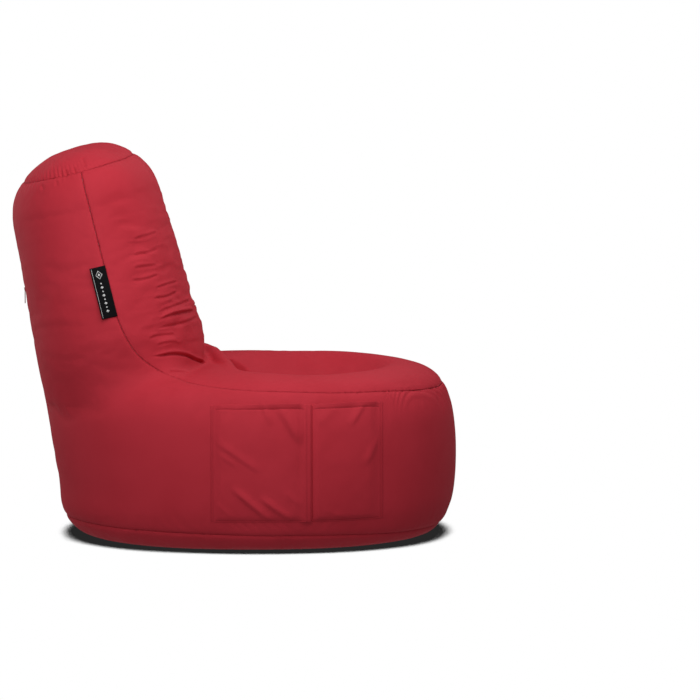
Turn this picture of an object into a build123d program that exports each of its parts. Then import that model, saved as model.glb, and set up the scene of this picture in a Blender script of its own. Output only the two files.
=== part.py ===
"""High-back bean bag chair: sewn cover, side pockets, inner bag, two zips and bead fill.

Frame: origin at the centre of the contact patch on the floor, +X the way a sitter faces,
+Y to the sitter's left, +Z up. Millimetres. One STEP file is written per sub-part.
"""

from build123d import *
import math
import os

# ---- Cloth and layers ----
COVER_CLOTH = 1.5  # outer cloth with its backing
LINER_CLOTH = 1.0
LAYER_GAP = 1.0  # between cover, inner bag and beads
LINER_INSET = COVER_CLOTH + LAYER_GAP
FILL_INSET = LINER_INSET + LINER_CLOTH + LAYER_GAP

# ---- Seat drum: rings from the floor up ----
# Each ring is (height, front reach, half width, rear reach); the rear follows BACK_LINE where None.
SEAT_RINGS = (
    (0, 335, 298, 335),
    (9, 366, 329, 366),
    (32, 392, 352, 391),
    (65, 406, 364, 403),
    (107, 412, 370, None),
    (165, 414, 374, None),
    (225, 412, 373, None),
    (275, 405, 366, None),
    (315, 388, 349, None),
    (338, 358, 322, None),
    (354, 308, 280, None),
)
RING_POINTS = 24
RING_SQUARENESS = 2.3  # superellipse exponent; 2 is an ellipse

# The rear of the chair is one straight line up to the shoulders.
BACK_FOOT_X, BACK_FOOT_Z = -410.0, 107.0
BACK_LEAN = 9.8  # degrees from vertical

# ---- Seat hollow: an ellipsoid let into the top of the drum ----
HOLLOW_CENTRE = (75.0, 0.0, 362.0)
HOLLOW_REACH = (192.0, 236.0, 84.0)

# ---- Backrest: sections parallel to the cap seam ----
CAP_SEAM_REAR = (-495.0, 0.0, 730.0)  # where the cap seam crosses the rear line
CAP_TILT = 14.0  # degrees the seam rises towards the front
# Straight sections up to the shoulders, as heights from the cap seam in that tilted frame.
BACK_HEIGHTS = (-500, -400, -310, -230, -165, -115, -75)
SHOULDER_TURNS = (15, 30, 45, 60, 74, 84)  # degrees round the shoulder, one section each
SHOULDER_HEIGHT, SHOULDER_REACH = 120.0, 108.0
# Front and half width at the shoulders' start, and what each gains per millimetre down.
BACK_FRONT, BACK_FRONT_SLOPE = 276.0, 0.039
BACK_HALF_WIDTH, BACK_WIDTH_SLOPE = 256.0, 0.150
BACK_WAIST, BACK_FOOT_NARROWING = -330.0, 130.0  # below this height the back narrows into the seat

# ---- Seams ----
BASE_SEAM_Z, BASE_SEAM_TILT = 35.0, 1.2  # the base seam rises towards the rear, degrees
# The side seam in side view, from above the cap down the backrest and along the rim: (x, z).
SIDE_SEAM = (
    (-375, 860),
    (-350, 763),
    (-302, 577),
    (-276, 475),
    (-230, 392),
    (-154, 348),
    (-32, 331),
    (282, 320),
    (387, 312),
    (460, 304),
)
CUTTER_REACH = 1200.0  # cutting tools run this far past the chair

# ---- Side pockets, on the sitter's right ----
POCKET_REAR, POCKET_DIVIDE, POCKET_FRONT = -75.0, 120.0, 256.0
POCKET_BOTTOM, POCKET_TOP = 68.0, 298.0
POCKET_ROOM = 12.0  # free depth behind the pocket cloth
POCKET_CLOTH = 1.5
POCKET_HEM_HEIGHT, POCKET_HEM_CLOTH = 12.0, 1.2  # doubled cloth along the mouth
POCKET_GAP = 0.1  # clearance between sewn faces

# ---- Woven side label, sewn into the right side seam ----
LABEL_TOP, LABEL_FOOT = (-302.0, -273.0, 577.0), (-276.0, -288.5, 475.0)  # its sewn edge, on the side seam
LABEL_WIDTH, LABEL_CLOTH = 30.0, 0.7  # folded double
LABEL_FLARE = 9.0  # degrees the free edge stands off the wall

# ---- Zips: local X across, Y up along the zip, Z out of the chair ----
ZIP_START_Z = 120.0  # height of the first tooth
ZIP_LENGTH = 400.0
LINER_ZIP_START, LINER_ZIP_LENGTH = 50.0, 300.0
TAPE_INNER, TAPE_OUTER, TAPE_OVERRUN = 0.8, 16.0, 16.0
TAPE_BOTTOM, TAPE_TOP = -2.9, -2.1  # heights from the cover's outer face
TOOTH_TOP, TOOTH_OUTER = -0.3, 3.2
STOP_LENGTH, STOP_OUTER, STOP_TOP = 4.0, 3.6, 0.1
STOP_CLEARANCE = 0.2
SLOT_HALF_WIDTH, SLOT_OVERRUN = 7.0, 6.0
SLIDER_LENGTH, SLIDER_HALF_WIDTH = 12.0, 5.0
SLIDER_TOP = (0.0, 1.4)
SLIDER_BOTTOM = (-4.5, -3.1)
FLANGE_INNER, FLANGE_BOTTOM = 3.7, -1.4
POST_HALF_WIDTH, POST_LENGTH = 0.5, 4.0
SLIDER_REST_Y = 393.5  # middle of the slider with the zip closed
LINER_SLIDER_REST_Y = 293.5
BRIDGE_HALF_WIDTH, BRIDGE_LENGTH, BRIDGE_TOP = 1.2, 7.0, 4.2
PIVOT_HEIGHT, PIVOT_HOLE, PIVOT_PIN = 2.7, 0.85, 0.78
ARM_INNER, ARM_OUTER, ARM_REACH, ARM_HALF_THICKNESS = 1.5, 2.9, 7.0, 0.7
TAB_HALF_WIDTH, TAB_LENGTH, TAB_EYE = 3.6, 30.0, 1.5
VOID_HALF_WIDTH, VOID_OVERRUN = 24.0, 26.0
VOID_DEPTH = 12.5  # inner bag's outer face behind the cover's outer face
LINER_ZIP_SINK = 9.4  # the inner zip lies this far behind the outer one


def ring_wire(centre, along, across, front, rear, half_width):
    """A closed superellipse ring in the plane of two unit vectors, with its own front and rear reach."""
    power = 2.0 / RING_SQUARENESS
    points = []
    for step in range(RING_POINTS):
        turn = 2 * math.pi * (step + 1) / RING_POINTS
        c, s = math.cos(turn), math.sin(turn)
        reach = (front if c > 0 else rear) * math.copysign(abs(c) ** power, c)
        side = half_width * math.copysign(abs(s) ** power, s)
        points.append(centre + along * reach + across * side)
    return Wire([Edge.make_spline(points, periodic=True)])


def back_line_x(z):
    """Where the straight rear line stands at height z."""
    return BACK_FOOT_X - math.tan(math.radians(BACK_LEAN)) * (z - BACK_FOOT_Z)


def ring_lean(index):
    """How much of a layer's inset a ring takes inwards and how much upwards, from its profile's slope."""
    if index in (0, len(SEAT_RINGS) - 1):
        return 0.5, 1.0 if index == 0 else -1.0
    (z0, reach0, _, _), (z1, reach1, _, _) = SEAT_RINGS[index - 1], SEAT_RINGS[index + 1]
    length = math.hypot(z1 - z0, reach1 - reach0)
    return (z1 - z0) / length, (reach1 - reach0) / length


def seat_drum(inset):
    """The round seat without its hollow, its skin moved in by inset (out if negative)."""
    faces = []
    for index, (z, front, half_width, rear) in enumerate(SEAT_RINGS):
        rear = -back_line_x(z) if rear is None else rear
        inward, upward = ring_lean(index)
        centre = Vector(0, 0, z + inset * upward)
        step = inset * inward
        faces.append(
            Face(ring_wire(centre, Vector(1, 0, 0), Vector(0, 1, 0), front - step, rear - step, half_width - step))
        )
    return loft(faces)


def hollow(inset):
    """The dished seat, cut a little larger for the layers below the cover."""
    reach = [r + inset for r in HOLLOW_REACH]
    ball = Rot(0, 0, 35) * Sphere(1.0)  # turned so that its own seam lies clear of the centre line
    return Pos(*HOLLOW_CENTRE) * scale(ball, by=tuple(reach))


def rear_reach(height):
    """How far along the cap seam's frame the straight rear line lies at a height in that frame."""
    slope = math.tan(math.radians(BACK_LEAN))
    c, s = math.cos(math.radians(CAP_TILT)), math.sin(math.radians(CAP_TILT))
    x, _, z = CAP_SEAM_REAR
    return (back_line_x(z) - x + height * (s - slope * c)) / (c + slope * s)


def back_sections():
    """The backrest's sections as (height, rear, front, half width, turn round the shoulder), cap seam's frame."""
    start = BACK_HEIGHTS[-1]
    levels = [(height, 0) for height in BACK_HEIGHTS]
    levels += [(start + SHOULDER_HEIGHT * math.sin(math.radians(turn)), turn) for turn in SHOULDER_TURNS]
    for height, turn in levels:
        down = start - height
        shoulder = SHOULDER_REACH * (1 - math.cos(math.radians(turn)))
        below_waist = max(0.0, BACK_WAIST - height) / (BACK_WAIST - BACK_HEIGHTS[0])
        yield (
            height,
            rear_reach(min(height, start)) + shoulder,
            BACK_FRONT + BACK_FRONT_SLOPE * down - shoulder,
            BACK_HALF_WIDTH + BACK_WIDTH_SLOPE * down - shoulder - BACK_FOOT_NARROWING * below_waist**2,
            turn,
        )


def backrest(inset):
    """The leaning back, from inside the seat up to the top of the cap."""
    tilt = math.radians(CAP_TILT)
    along = Vector(math.cos(tilt), 0, math.sin(tilt))
    up = Vector(-math.sin(tilt), 0, math.cos(tilt))
    faces = []
    for height, rear, front, half_width, turn in back_sections():
        height -= inset * math.sin(math.radians(turn))
        step = inset * math.cos(math.radians(turn))
        middle, half_depth = (rear + front) / 2, (front - rear) / 2 - step
        centre = Vector(*CAP_SEAM_REAR) + along * middle + up * height
        faces.append(Face(ring_wire(centre, along, Vector(0, 1, 0), half_depth, half_depth, half_width - step)))
    return loft(faces)


def chair_body(inset):
    """The whole stuffed shape, its skin moved in by inset."""
    return (seat_drum(inset) - hollow(inset)) + backrest(inset)


def zip_plane(sink=0.0, start=0.0):
    """The zip's own frame on the rear line: sink moves it into the chair, start up along the zip."""
    lean = math.radians(BACK_LEAN)
    up = Vector(-math.sin(lean), 0, math.cos(lean))
    out = Vector(-math.cos(lean), 0, -math.sin(lean))
    foot = Vector(back_line_x(ZIP_START_Z), 0, ZIP_START_Z)
    return Plane(origin=foot + up * start - out * sink, x_dir=(0, -1, 0), z_dir=out)


def block(x0, x1, y0, y1, z0, z1):
    """A box between two corners."""
    return Pos((x0 + x1) / 2, (y0 + y1) / 2, (z0 + z1) / 2) * Box(x1 - x0, y1 - y0, z1 - z0)


def zip_void(depth):
    """What is cut off the inner layers behind the zip, down to a flat at depth."""
    half_width = VOID_HALF_WIDTH + (depth - VOID_DEPTH)
    overrun = VOID_OVERRUN + (depth - VOID_DEPTH)
    shape = block(-half_width, half_width, -overrun, ZIP_LENGTH + overrun, -depth, 60)
    return zip_plane() * shape


def zip_slot(half_width, start, length):
    """The slit in a cloth layer that the slider runs in, as deep as every layer."""
    slit = block(-half_width, half_width, start - SLOT_OVERRUN, start + length + SLOT_OVERRUN, -40, 40)
    return zip_plane() * slit


def zip_tape(side, length):
    """One woven tape: side is +1 for the sitter's right, -1 for the left."""
    edges = sorted((side * TAPE_INNER, side * TAPE_OUTER))
    return block(*edges, -TAPE_OVERRUN, length + TAPE_OVERRUN, TAPE_BOTTOM, TAPE_TOP)


def zip_coil(side, length):
    """One row of the coil, with its outer top edge rounded."""
    edges = sorted((side * TAPE_INNER, side * TOOTH_OUTER))
    row = block(*edges, 0, length, TAPE_TOP, TOOTH_TOP)
    long_edges = row.edges().filter_by(Axis.Y).group_by(Axis.Z)[-1]
    return fillet(long_edges, 0.6)


def zip_end_stops(length):
    """The pair of clamps above the last teeth."""
    start = length + STOP_CLEARANCE
    stops = [
        block(*sorted((side * TAPE_INNER, side * STOP_OUTER)), start, start + STOP_LENGTH, TAPE_TOP, STOP_TOP)
        for side in (1, -1)
    ]
    return Compound(children=stops)


def zip_foot_stop():
    """The clamp across both rows below the first teeth."""
    end = -STOP_CLEARANCE
    return block(-STOP_OUTER, STOP_OUTER, end - STOP_LENGTH, end, TAPE_TOP, STOP_TOP)


def zip_slider(with_bridge):
    """The slider about its own middle: two plates, side flanges and a post between the rows."""
    half = SLIDER_LENGTH / 2
    wide = SLIDER_HALF_WIDTH
    top = block(-wide, wide, -half, half, *SLIDER_TOP)
    top = fillet(top.edges().filter_by(Axis.Z), 2.0)
    bottom = block(-wide, wide, -half, half, *SLIDER_BOTTOM)
    bottom = fillet(bottom.edges().filter_by(Axis.Z), 2.0)
    body = top + bottom
    for side in (1, -1):
        edges = sorted((side * FLANGE_INNER, side * wide))
        body += block(*edges, -half + 2, half - 2, FLANGE_BOTTOM, SLIDER_TOP[1] / 2)
    body += block(
        -POST_HALF_WIDTH, POST_HALF_WIDTH, half - 0.5 - POST_LENGTH, half - 0.5,
        SLIDER_BOTTOM[0] + 0.5, SLIDER_TOP[1] - 0.5,
    )
    if with_bridge:
        long = BRIDGE_LENGTH / 2
        bridge = block(-BRIDGE_HALF_WIDTH, BRIDGE_HALF_WIDTH, -long, long, SLIDER_TOP[1] - 0.5, BRIDGE_TOP)
        bridge = fillet(bridge.edges().filter_by(Axis.X).group_by(Axis.Z)[-1], 1.2)
        hole = Pos(0, 0, PIVOT_HEIGHT) * Rot(0, 90, 0) * Cylinder(PIVOT_HOLE, 4 * BRIDGE_HALF_WIDTH)
        body = body + bridge - hole
    return body


def zip_pull():
    """The pull about its pivot, hanging along local -Y: pin, two arms and a tab with an eye."""
    pin = Rot(0, 90, 0) * Cylinder(PIVOT_PIN, 2 * ARM_OUTER)
    thick = ARM_HALF_THICKNESS
    arms = [
        block(*sorted((side * ARM_INNER, side * ARM_OUTER)), -ARM_REACH, 1.0, -thick, thick) for side in (1, -1)
    ]
    tab = block(-TAB_HALF_WIDTH, TAB_HALF_WIDTH, -TAB_LENGTH, -ARM_REACH + 1.5, -thick, thick)
    tab = fillet(tab.edges().filter_by(Axis.Z), 1.8)
    eye = Pos(0, -TAB_LENGTH + 4.5, 0) * Cylinder(TAB_EYE, 4 * thick)
    return pin + arms[0] + arms[1] + tab - eye


def slider_pivot():
    """The pull's pivot in the chair frame, with the zip closed."""
    return zip_plane().from_local_coords(Vector(0, SLIDER_REST_Y, PIVOT_HEIGHT))


def hanging_pull():
    """The pull in the chair frame, plumb below its pivot."""
    here = Plane(origin=slider_pivot(), x_dir=(0, -1, 0), z_dir=(-1, 0, 0))
    return here * zip_pull()


def zip_nodes(prefix, plane, length, slider_y, with_bridge):
    """One zip's parts in the chair frame, keyed by node name."""
    return {
        prefix + "tape_right": plane * zip_tape(1, length),
        prefix + "tape_left": plane * zip_tape(-1, length),
        prefix + "coil_right": plane * zip_coil(1, length),
        prefix + "coil_left": plane * zip_coil(-1, length),
        prefix + "end_stops": plane * zip_end_stops(length),
        prefix + "foot_stop": plane * zip_foot_stop(),
        prefix + "slider": plane * (Pos(0, slider_y, 0) * zip_slider(with_bridge)),
    }


def front_region():
    """Everything ahead of the side seam: the front of the backrest, the top of the seat and its hollow."""
    seam = Edge.make_spline([Vector(x, 0, z) for x, z in SIDE_SEAM])
    (first_x, first_z), (last_x, last_z) = SIDE_SEAM[0], SIDE_SEAM[-1]
    top_z = first_z + 100
    lines = Polyline((last_x, 0, last_z), (last_x, 0, top_z), (first_x, 0, top_z), (first_x, 0, first_z))
    outline = Face(Wire([seam, *lines.edges()]))
    ahead = extrude(outline, amount=CUTTER_REACH / 2, dir=(0, 1, 0), both=True)
    return ahead + hollow(3 * COVER_CLOTH)


def above_cap_seam():
    """The half space over the cap seam's plane, as a large block."""
    tilt = math.radians(CAP_TILT)
    seam = Plane(
        origin=CAP_SEAM_REAR, x_dir=(math.cos(tilt), 0, math.sin(tilt)), z_dir=(-math.sin(tilt), 0, math.cos(tilt))
    )
    reach = CUTTER_REACH
    return seam * block(-reach, reach, -reach, reach, 0, reach)


def below_base_seam():
    """The half space under the base seam's plane, as a large block."""
    tilt = math.radians(BASE_SEAM_TILT)
    seam = Plane(
        origin=(0, 0, BASE_SEAM_Z), x_dir=(math.cos(tilt), 0, -math.sin(tilt)), z_dir=(math.sin(tilt), 0, math.cos(tilt))
    )
    reach = CUTTER_REACH
    return seam * block(-reach, reach, -reach, reach, -reach, 0)


def side_space(side):
    """Half of space: side is -1 for the sitter's right, +1 for the left."""
    reach = CUTTER_REACH
    edges = sorted((0, side * reach))
    return block(-reach, reach, *edges, -reach, reach)


def cover_panels():
    """The outer cover, cut along its seams into the panels it is sewn from."""
    outside, inside = chair_body(0), chair_body(COVER_CLOTH)
    cap_space, base_space, front_space = above_cap_seam(), below_base_seam(), front_region()
    slot = zip_slot(SLOT_HALF_WIDTH, 0, ZIP_LENGTH)
    wall = outside - cap_space - base_space
    sides = wall - front_space
    return {
        "top_cap": (outside & cap_space) - inside,
        "base_panel": (outside & base_space) - inside,
        "front_panel": (wall & front_space) - inside,
        "side_panel_right": (sides & side_space(-1)) - inside - slot,
        "side_panel_left": (sides & side_space(1)) - inside - slot,
    }


def liner_halves():
    """The inner bag, joined on the centre line, flat and slit behind the cover's zip."""
    outside = chair_body(LINER_INSET) - zip_void(VOID_DEPTH)
    inside = chair_body(LINER_INSET + LINER_CLOTH) - zip_void(VOID_DEPTH + LINER_CLOTH)
    slot = zip_slot(SLOT_HALF_WIDTH, LINER_ZIP_START, LINER_ZIP_LENGTH)
    return {
        "inner_bag_right": (outside & side_space(-1)) - inside - slot,
        "inner_bag_left": (outside & side_space(1)) - inside - slot,
    }


def bead_fill():
    """The expanded polystyrene beads, as the one solid they pack into."""
    return chair_body(FILL_INSET) - zip_void(VOID_DEPTH + LINER_CLOTH + 2 * LAYER_GAP)


def wall_outline(stand_off):
    """The seat wall's widest plan outline, moved out by stand_off, as an upright prism."""
    z, front, half_width, _ = max(SEAT_RINGS, key=lambda ring: ring[2])
    rear = -back_line_x(z)
    ring = ring_wire(
        Vector(0, 0, 0), Vector(1, 0, 0), Vector(0, 1, 0), front + stand_off, rear + stand_off, half_width + stand_off
    )
    return extrude(Face(ring), amount=CUTTER_REACH / 2, dir=(0, 0, 1))


def pocket(rear, front):
    """A patch pocket: cloth standing off the seat wall, closed at its sides and foot, hemmed at its mouth."""
    outer = wall_outline(POCKET_ROOM + POCKET_CLOTH)
    room = wall_outline(POCKET_ROOM)
    panel = block(rear, front, -CUTTER_REACH, 0, POCKET_BOTTOM, POCKET_TOP)
    cavity = block(
        rear + POCKET_CLOTH, front - POCKET_CLOTH, -CUTTER_REACH, 0, POCKET_BOTTOM + POCKET_CLOTH, POCKET_TOP + 1
    )
    hem_space = block(rear, front, -CUTTER_REACH, 0, POCKET_TOP - POCKET_HEM_HEIGHT, POCKET_TOP)
    hem = (wall_outline(POCKET_ROOM + POCKET_CLOTH + POCKET_HEM_CLOTH) - outer) & hem_space
    return (outer & panel) - (room & cavity) - seat_drum(-POCKET_GAP) + hem


def side_label():
    """The folded woven label, sewn in at the side seam with its fold towards the rear."""
    top, foot = Vector(*LABEL_TOP), Vector(*LABEL_FOOT)
    length = (top - foot).length
    up = (top - foot).normalized()
    outward = up.cross(Vector(-1, 0, 0)).normalized()
    rearward = outward.cross(up)
    flare = math.radians(LABEL_FLARE)
    across = rearward * math.cos(flare) + outward * math.sin(flare)
    seam = Plane(origin=foot, x_dir=across, z_dir=across.cross(up))
    folded = block(0, LABEL_WIDTH, 0, length, -LABEL_CLOTH, LABEL_CLOTH)
    fold = folded.edges().filter_by(Axis.Y).group_by(Axis.X)[-1]
    return seam * fillet(fold, LABEL_CLOTH * 0.95) - backrest(-POCKET_GAP)


def main():
    os.makedirs("parts", exist_ok=True)
    nodes = {
        **cover_panels(),
        "pocket_large": pocket(POCKET_REAR, POCKET_DIVIDE - POCKET_GAP / 2),
        "pocket_small": pocket(POCKET_DIVIDE + POCKET_GAP / 2, POCKET_FRONT),
        "side_label": side_label(),
        **zip_nodes("zip_", zip_plane(), ZIP_LENGTH, SLIDER_REST_Y, True),
        "zip_pull": hanging_pull(),
        **liner_halves(),
        **zip_nodes(
            "inner_zip_", zip_plane(LINER_ZIP_SINK, LINER_ZIP_START), LINER_ZIP_LENGTH, LINER_SLIDER_REST_Y, False
        ),
        "bead_fill": bead_fill(),
    }
    for name, shape in nodes.items():
        export_step(shape, f"parts/{name}.step")
    pivot = slider_pivot()
    print("zip pull pivot", [round(value, 3) for value in pivot])


if __name__ == "__main__":
    main()
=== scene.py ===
import math

import bpy
import numpy as np
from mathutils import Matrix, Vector
from mathutils.bvhtree import BVHTree


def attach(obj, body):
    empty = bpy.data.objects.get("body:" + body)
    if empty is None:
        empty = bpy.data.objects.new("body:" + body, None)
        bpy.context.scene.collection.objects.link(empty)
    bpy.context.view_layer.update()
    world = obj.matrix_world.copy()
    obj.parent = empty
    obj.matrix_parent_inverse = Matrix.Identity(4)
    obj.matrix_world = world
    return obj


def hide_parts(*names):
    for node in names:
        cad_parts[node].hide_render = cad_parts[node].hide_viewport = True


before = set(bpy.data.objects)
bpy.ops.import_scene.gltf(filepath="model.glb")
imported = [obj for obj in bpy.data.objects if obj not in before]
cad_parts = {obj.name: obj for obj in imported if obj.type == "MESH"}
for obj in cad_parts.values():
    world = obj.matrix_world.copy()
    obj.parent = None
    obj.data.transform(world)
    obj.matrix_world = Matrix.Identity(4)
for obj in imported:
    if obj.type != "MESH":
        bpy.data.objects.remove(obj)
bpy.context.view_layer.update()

MM = 0.001
SEED = 11

# ---------------------------------------------------------------- the chair's shape, in millimetres
SEAT_PROFILE = (
    (0, 0), (180, 0), (300, 0), (335, 0.5), (366, 9), (392, 32), (406, 65), (412, 107), (414, 165),
    (412, 225),
    (405, 275), (388, 314), (358, 337), (308, 348), (240, 352), (120, 354), (0, 354),
)
SEAT_REACH, SEAT_HALF_WIDTH = 414.0, 374.0
SQUARENESS = 2.3
BACK_FOOT_X, BACK_FOOT_Z, BACK_LEAN = -410.0, 107.0, math.radians(9.8)
CAP_X, CAP_Z, CAP_TILT = -495.0, 730.0, math.radians(14.0)
BACK_START, BACK_ROUND, BACK_TOP = -75.0, 112.0, 44.0
SIDE_SEAM = (
    (-400, 960), (-375, 860), (-350, 763), (-302, 577), (-276, 475), (-230, 392), (-154, 348), (-32, 331),
    (120, 325), (282, 320), (387, 312), (460, 304), (560, 296),
)
BASE_SEAM_Z, BASE_SEAM_TILT = 35.0, math.radians(1.2)
HOLLOW_CENTRE, HOLLOW_REACH = (98.0, 0.0, 362.0), (169.0, 236.0, 84.0)
ZIP_START_Z, ZIP_LENGTH = 120.0, 400.0
GRID = 7.0
# How much of the cloth simulation's movement is kept.
SETTLE_SHARE = 0.35


def curve_points(points, per=14):
    """A Catmull-Rom curve through points, as an array."""
    pts = [np.array(p, float) for p in points]
    pts = [2 * pts[0] - pts[1], *pts, 2 * pts[-1] - pts[-2]]
    out = []
    for a, b, c, d in zip(pts, pts[1:], pts[2:], pts[3:]):
        for t in np.linspace(0, 1, per, endpoint=False):
            bend, twist = 2 * a - 5 * b + 4 * c - d, 3 * b - a - 3 * c + d
            out.append(0.5 * (2 * b + (c - a) * t + bend * t**2 + twist * t**3))
    out.append(pts[-2])
    return np.array(out)


def nearest_on_line(p, line):
    """Distance, signed side and arc length of the nearest point of a 2-D polyline, for each of p."""
    a, b = line[:-1], line[1:]
    d = b - a
    length = np.linalg.norm(d, axis=1)
    start = np.concatenate([[0], np.cumsum(length)[:-1]])
    best = np.full(len(p), 1e9)
    side = np.zeros(len(p))
    arc = np.zeros(len(p))
    for i in range(len(a)):
        r = p - a[i]
        t = np.clip(r @ d[i] / length[i] ** 2, 0, 1)
        gap = r - t[:, None] * d[i]
        dist = np.hypot(gap[:, 0], gap[:, 1])
        near = dist < best
        best[near] = dist[near]
        side[near] = np.sign(d[i][0] * r[near, 1] - d[i][1] * r[near, 0])
        arc[near] = start[i] + t[near] * length[i]
    return best, side, arc


class Table2D:
    """A function of two coordinates, sampled once and read back by bilinear interpolation."""

    def __init__(self, x0, x1, y0, y1, step, make):
        self.x0, self.y0, self.step = x0, y0, step
        xs, ys = np.arange(x0, x1 + step, step), np.arange(y0, y1 + step, step)
        gx, gy = np.meshgrid(xs, ys, indexing="ij")
        self.v = make(np.column_stack([gx.ravel(), gy.ravel()])).reshape(gx.shape)

    def __call__(self, x, y):
        u = np.clip((x - self.x0) / self.step, 0, self.v.shape[0] - 1.001)
        w = np.clip((y - self.y0) / self.step, 0, self.v.shape[1] - 1.001)
        i, j = u.astype(int), w.astype(int)
        u, w, v = u - i, w - j, self.v
        near = v[i, j] * (1 - u) + v[i + 1, j] * u
        far = v[i, j + 1] * (1 - u) + v[i + 1, j + 1] * u
        return near * (1 - w) + far * w


def signed(line, sign):
    def make(p):
        dist, side, _ = nearest_on_line(p, line)
        return sign * side * dist
    return make


seat_line = curve_points(SEAT_PROFILE)
seat_table = Table2D(0, 560, -60, 460, 3.0, signed(seat_line, -1.0))
seam_line = curve_points(SIDE_SEAM)
seam_side = Table2D(-620, 520, -40, 900, 3.0, signed(seam_line, 1.0))
seam_arc = Table2D(-620, 520, -40, 900, 3.0, lambda p: nearest_on_line(p, seam_line)[2])


def smooth_union(a, b, k):
    h = np.clip(0.5 + 0.5 * (b - a) / k, 0, 1)
    return b * (1 - h) + a * h - k * h * (1 - h)


def ramp(v, lo, hi):
    t = np.clip((v - lo) / (hi - lo), 0, 1)
    return t * t * (3 - 2 * t)


def back_line_x(z):
    return BACK_FOOT_X - math.tan(BACK_LEAN) * (z - BACK_FOOT_Z)


def back_frame(p):
    """Along and up in the cap seam's tilted frame."""
    dx, dz = p[:, 0] - CAP_X, p[:, 2] - CAP_Z
    c, s = math.cos(CAP_TILT), math.sin(CAP_TILT)
    return dx * c + dz * s, -dx * s + dz * c


def rear_reach(h):
    t, c, s = math.tan(BACK_LEAN), math.cos(CAP_TILT), math.sin(CAP_TILT)
    return (back_line_x(CAP_Z) - CAP_X + h * (s - t * c)) / (c + t * s)


def superellipse(a, b, ra, rb):
    """Radius ratio, and how fast it grows per millimetre."""
    n = SQUARENESS
    u, v = np.abs(a) / ra, np.abs(b) / rb
    s = np.maximum((u**n + v**n) ** (1 / n), 1e-6)
    g = s ** (1 - n) * np.hypot(u ** (n - 1) / ra, v ** (n - 1) / rb)
    return s, np.maximum(g, 1e-5)


def seat_field(p):
    x, y, z = p.T
    rear = 414 + (-back_line_x(z) - 414) * ramp(z, 60, 150)
    reach = np.where(x > 0, SEAT_REACH, rear)
    s, _ = superellipse(x, y, reach, SEAT_HALF_WIDTH)
    return seat_table(SEAT_REACH * s, z)


def back_field(p):
    a, h = back_frame(p)
    level = np.minimum(h, BACK_START)
    rear = rear_reach(level) + 2.0
    front = 276 + 0.039 * (BACK_START - level)
    below = np.maximum(0, -330 - h) / 170
    half = 256 + 0.150 * (BACK_START - level) - 130 * below**2
    half = np.maximum(half, 60)
    mid, depth = (front + rear) / 2, (front - rear) / 2
    s, g = superellipse(a - mid, p[:, 1], depth, half)
    flat = (s - 1) / g
    rise = h - BACK_TOP + 2.5 + 12.0 * (1 - ramp(a, -20, 150))
    q0, q1 = flat + BACK_ROUND, rise + BACK_ROUND * 1.04
    corner = np.hypot(np.maximum(q0, 0), np.maximum(q1, 0)) + np.minimum(np.maximum(q0, q1), 0) - BACK_ROUND
    return -smooth_union(-corner, h + 470.0, 30.0)


def hollow_field(p):
    d = (p - np.array(HOLLOW_CENTRE)) / np.array(HOLLOW_REACH)
    r = np.linalg.norm(d, axis=1)
    g = np.linalg.norm(d / np.array(HOLLOW_REACH), axis=1) / np.maximum(r, 1e-6)
    return (r - 1) / np.maximum(g, 1e-5)


def capsule(p, a, b, r0, r1):
    a, b = np.array(a, float), np.array(b, float)
    d = b - a
    t = np.clip((p - a) @ d / (d @ d), 0, 1)
    return np.linalg.norm(p - a - t[:, None] * d, axis=1) - (r0 + (r1 - r0) * t)


# A roll of slack cloth across the back of the hollow, and the deep crease behind it, as (place, radius).
ROLL = (((-24, -232, 326), 12), ((-45, -184, 339), 13), ((-54, -112, 349), 13), ((-71, -22, 357), 13),
        ((-94, 60, 367), 13), ((-116, 122, 369), 13), ((-136, 176, 370), 12))
VALLEY = (((-70, -212, 366), 4), ((-86, -120, 372), 9), ((-98, -20, 378), 12), ((-120, 70, 384), 11))

# The dark corner at the hollow's far rear, below the roll.
NOTCH = (((-62, 84, 346), 6), ((-48, 122, 335), 14), ((-28, 128, 320), 12))


def chain(p, beads):
    dist = np.full(len(p), 1e9)
    for (a, r0), (b, r1) in zip(beads, beads[1:]):
        dist = np.minimum(dist, capsule(p, a, b, r0, r1))
    return dist


def chair_field(p):
    """Below zero inside the stuffed shape; close to a distance near the skin."""
    seat = seat_field(p)
    dish = hollow_field(p)
    seat = -smooth_union(-seat, dish, 34.0)
    back = back_field(p)
    inner = ramp(p[:, 0], -190, -110) * (1 - ramp(np.abs(p[:, 1]), 150, 290))
    rear = ramp(-p[:, 0], 290, 390) * (1 - 0.55 * ramp(np.abs(p[:, 1]), 130, 215))
    blend = (78.0 - 62.0 * inner) * (1 - 0.94 * rear)
    body = smooth_union(seat, back, blend)
    body = smooth_union(body, chain(p, ROLL), 14.0)
    body = -smooth_union(-body, chain(p, VALLEY), 9.0)
    return -smooth_union(-body, chain(p, NOTCH), 8.0)


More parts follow.
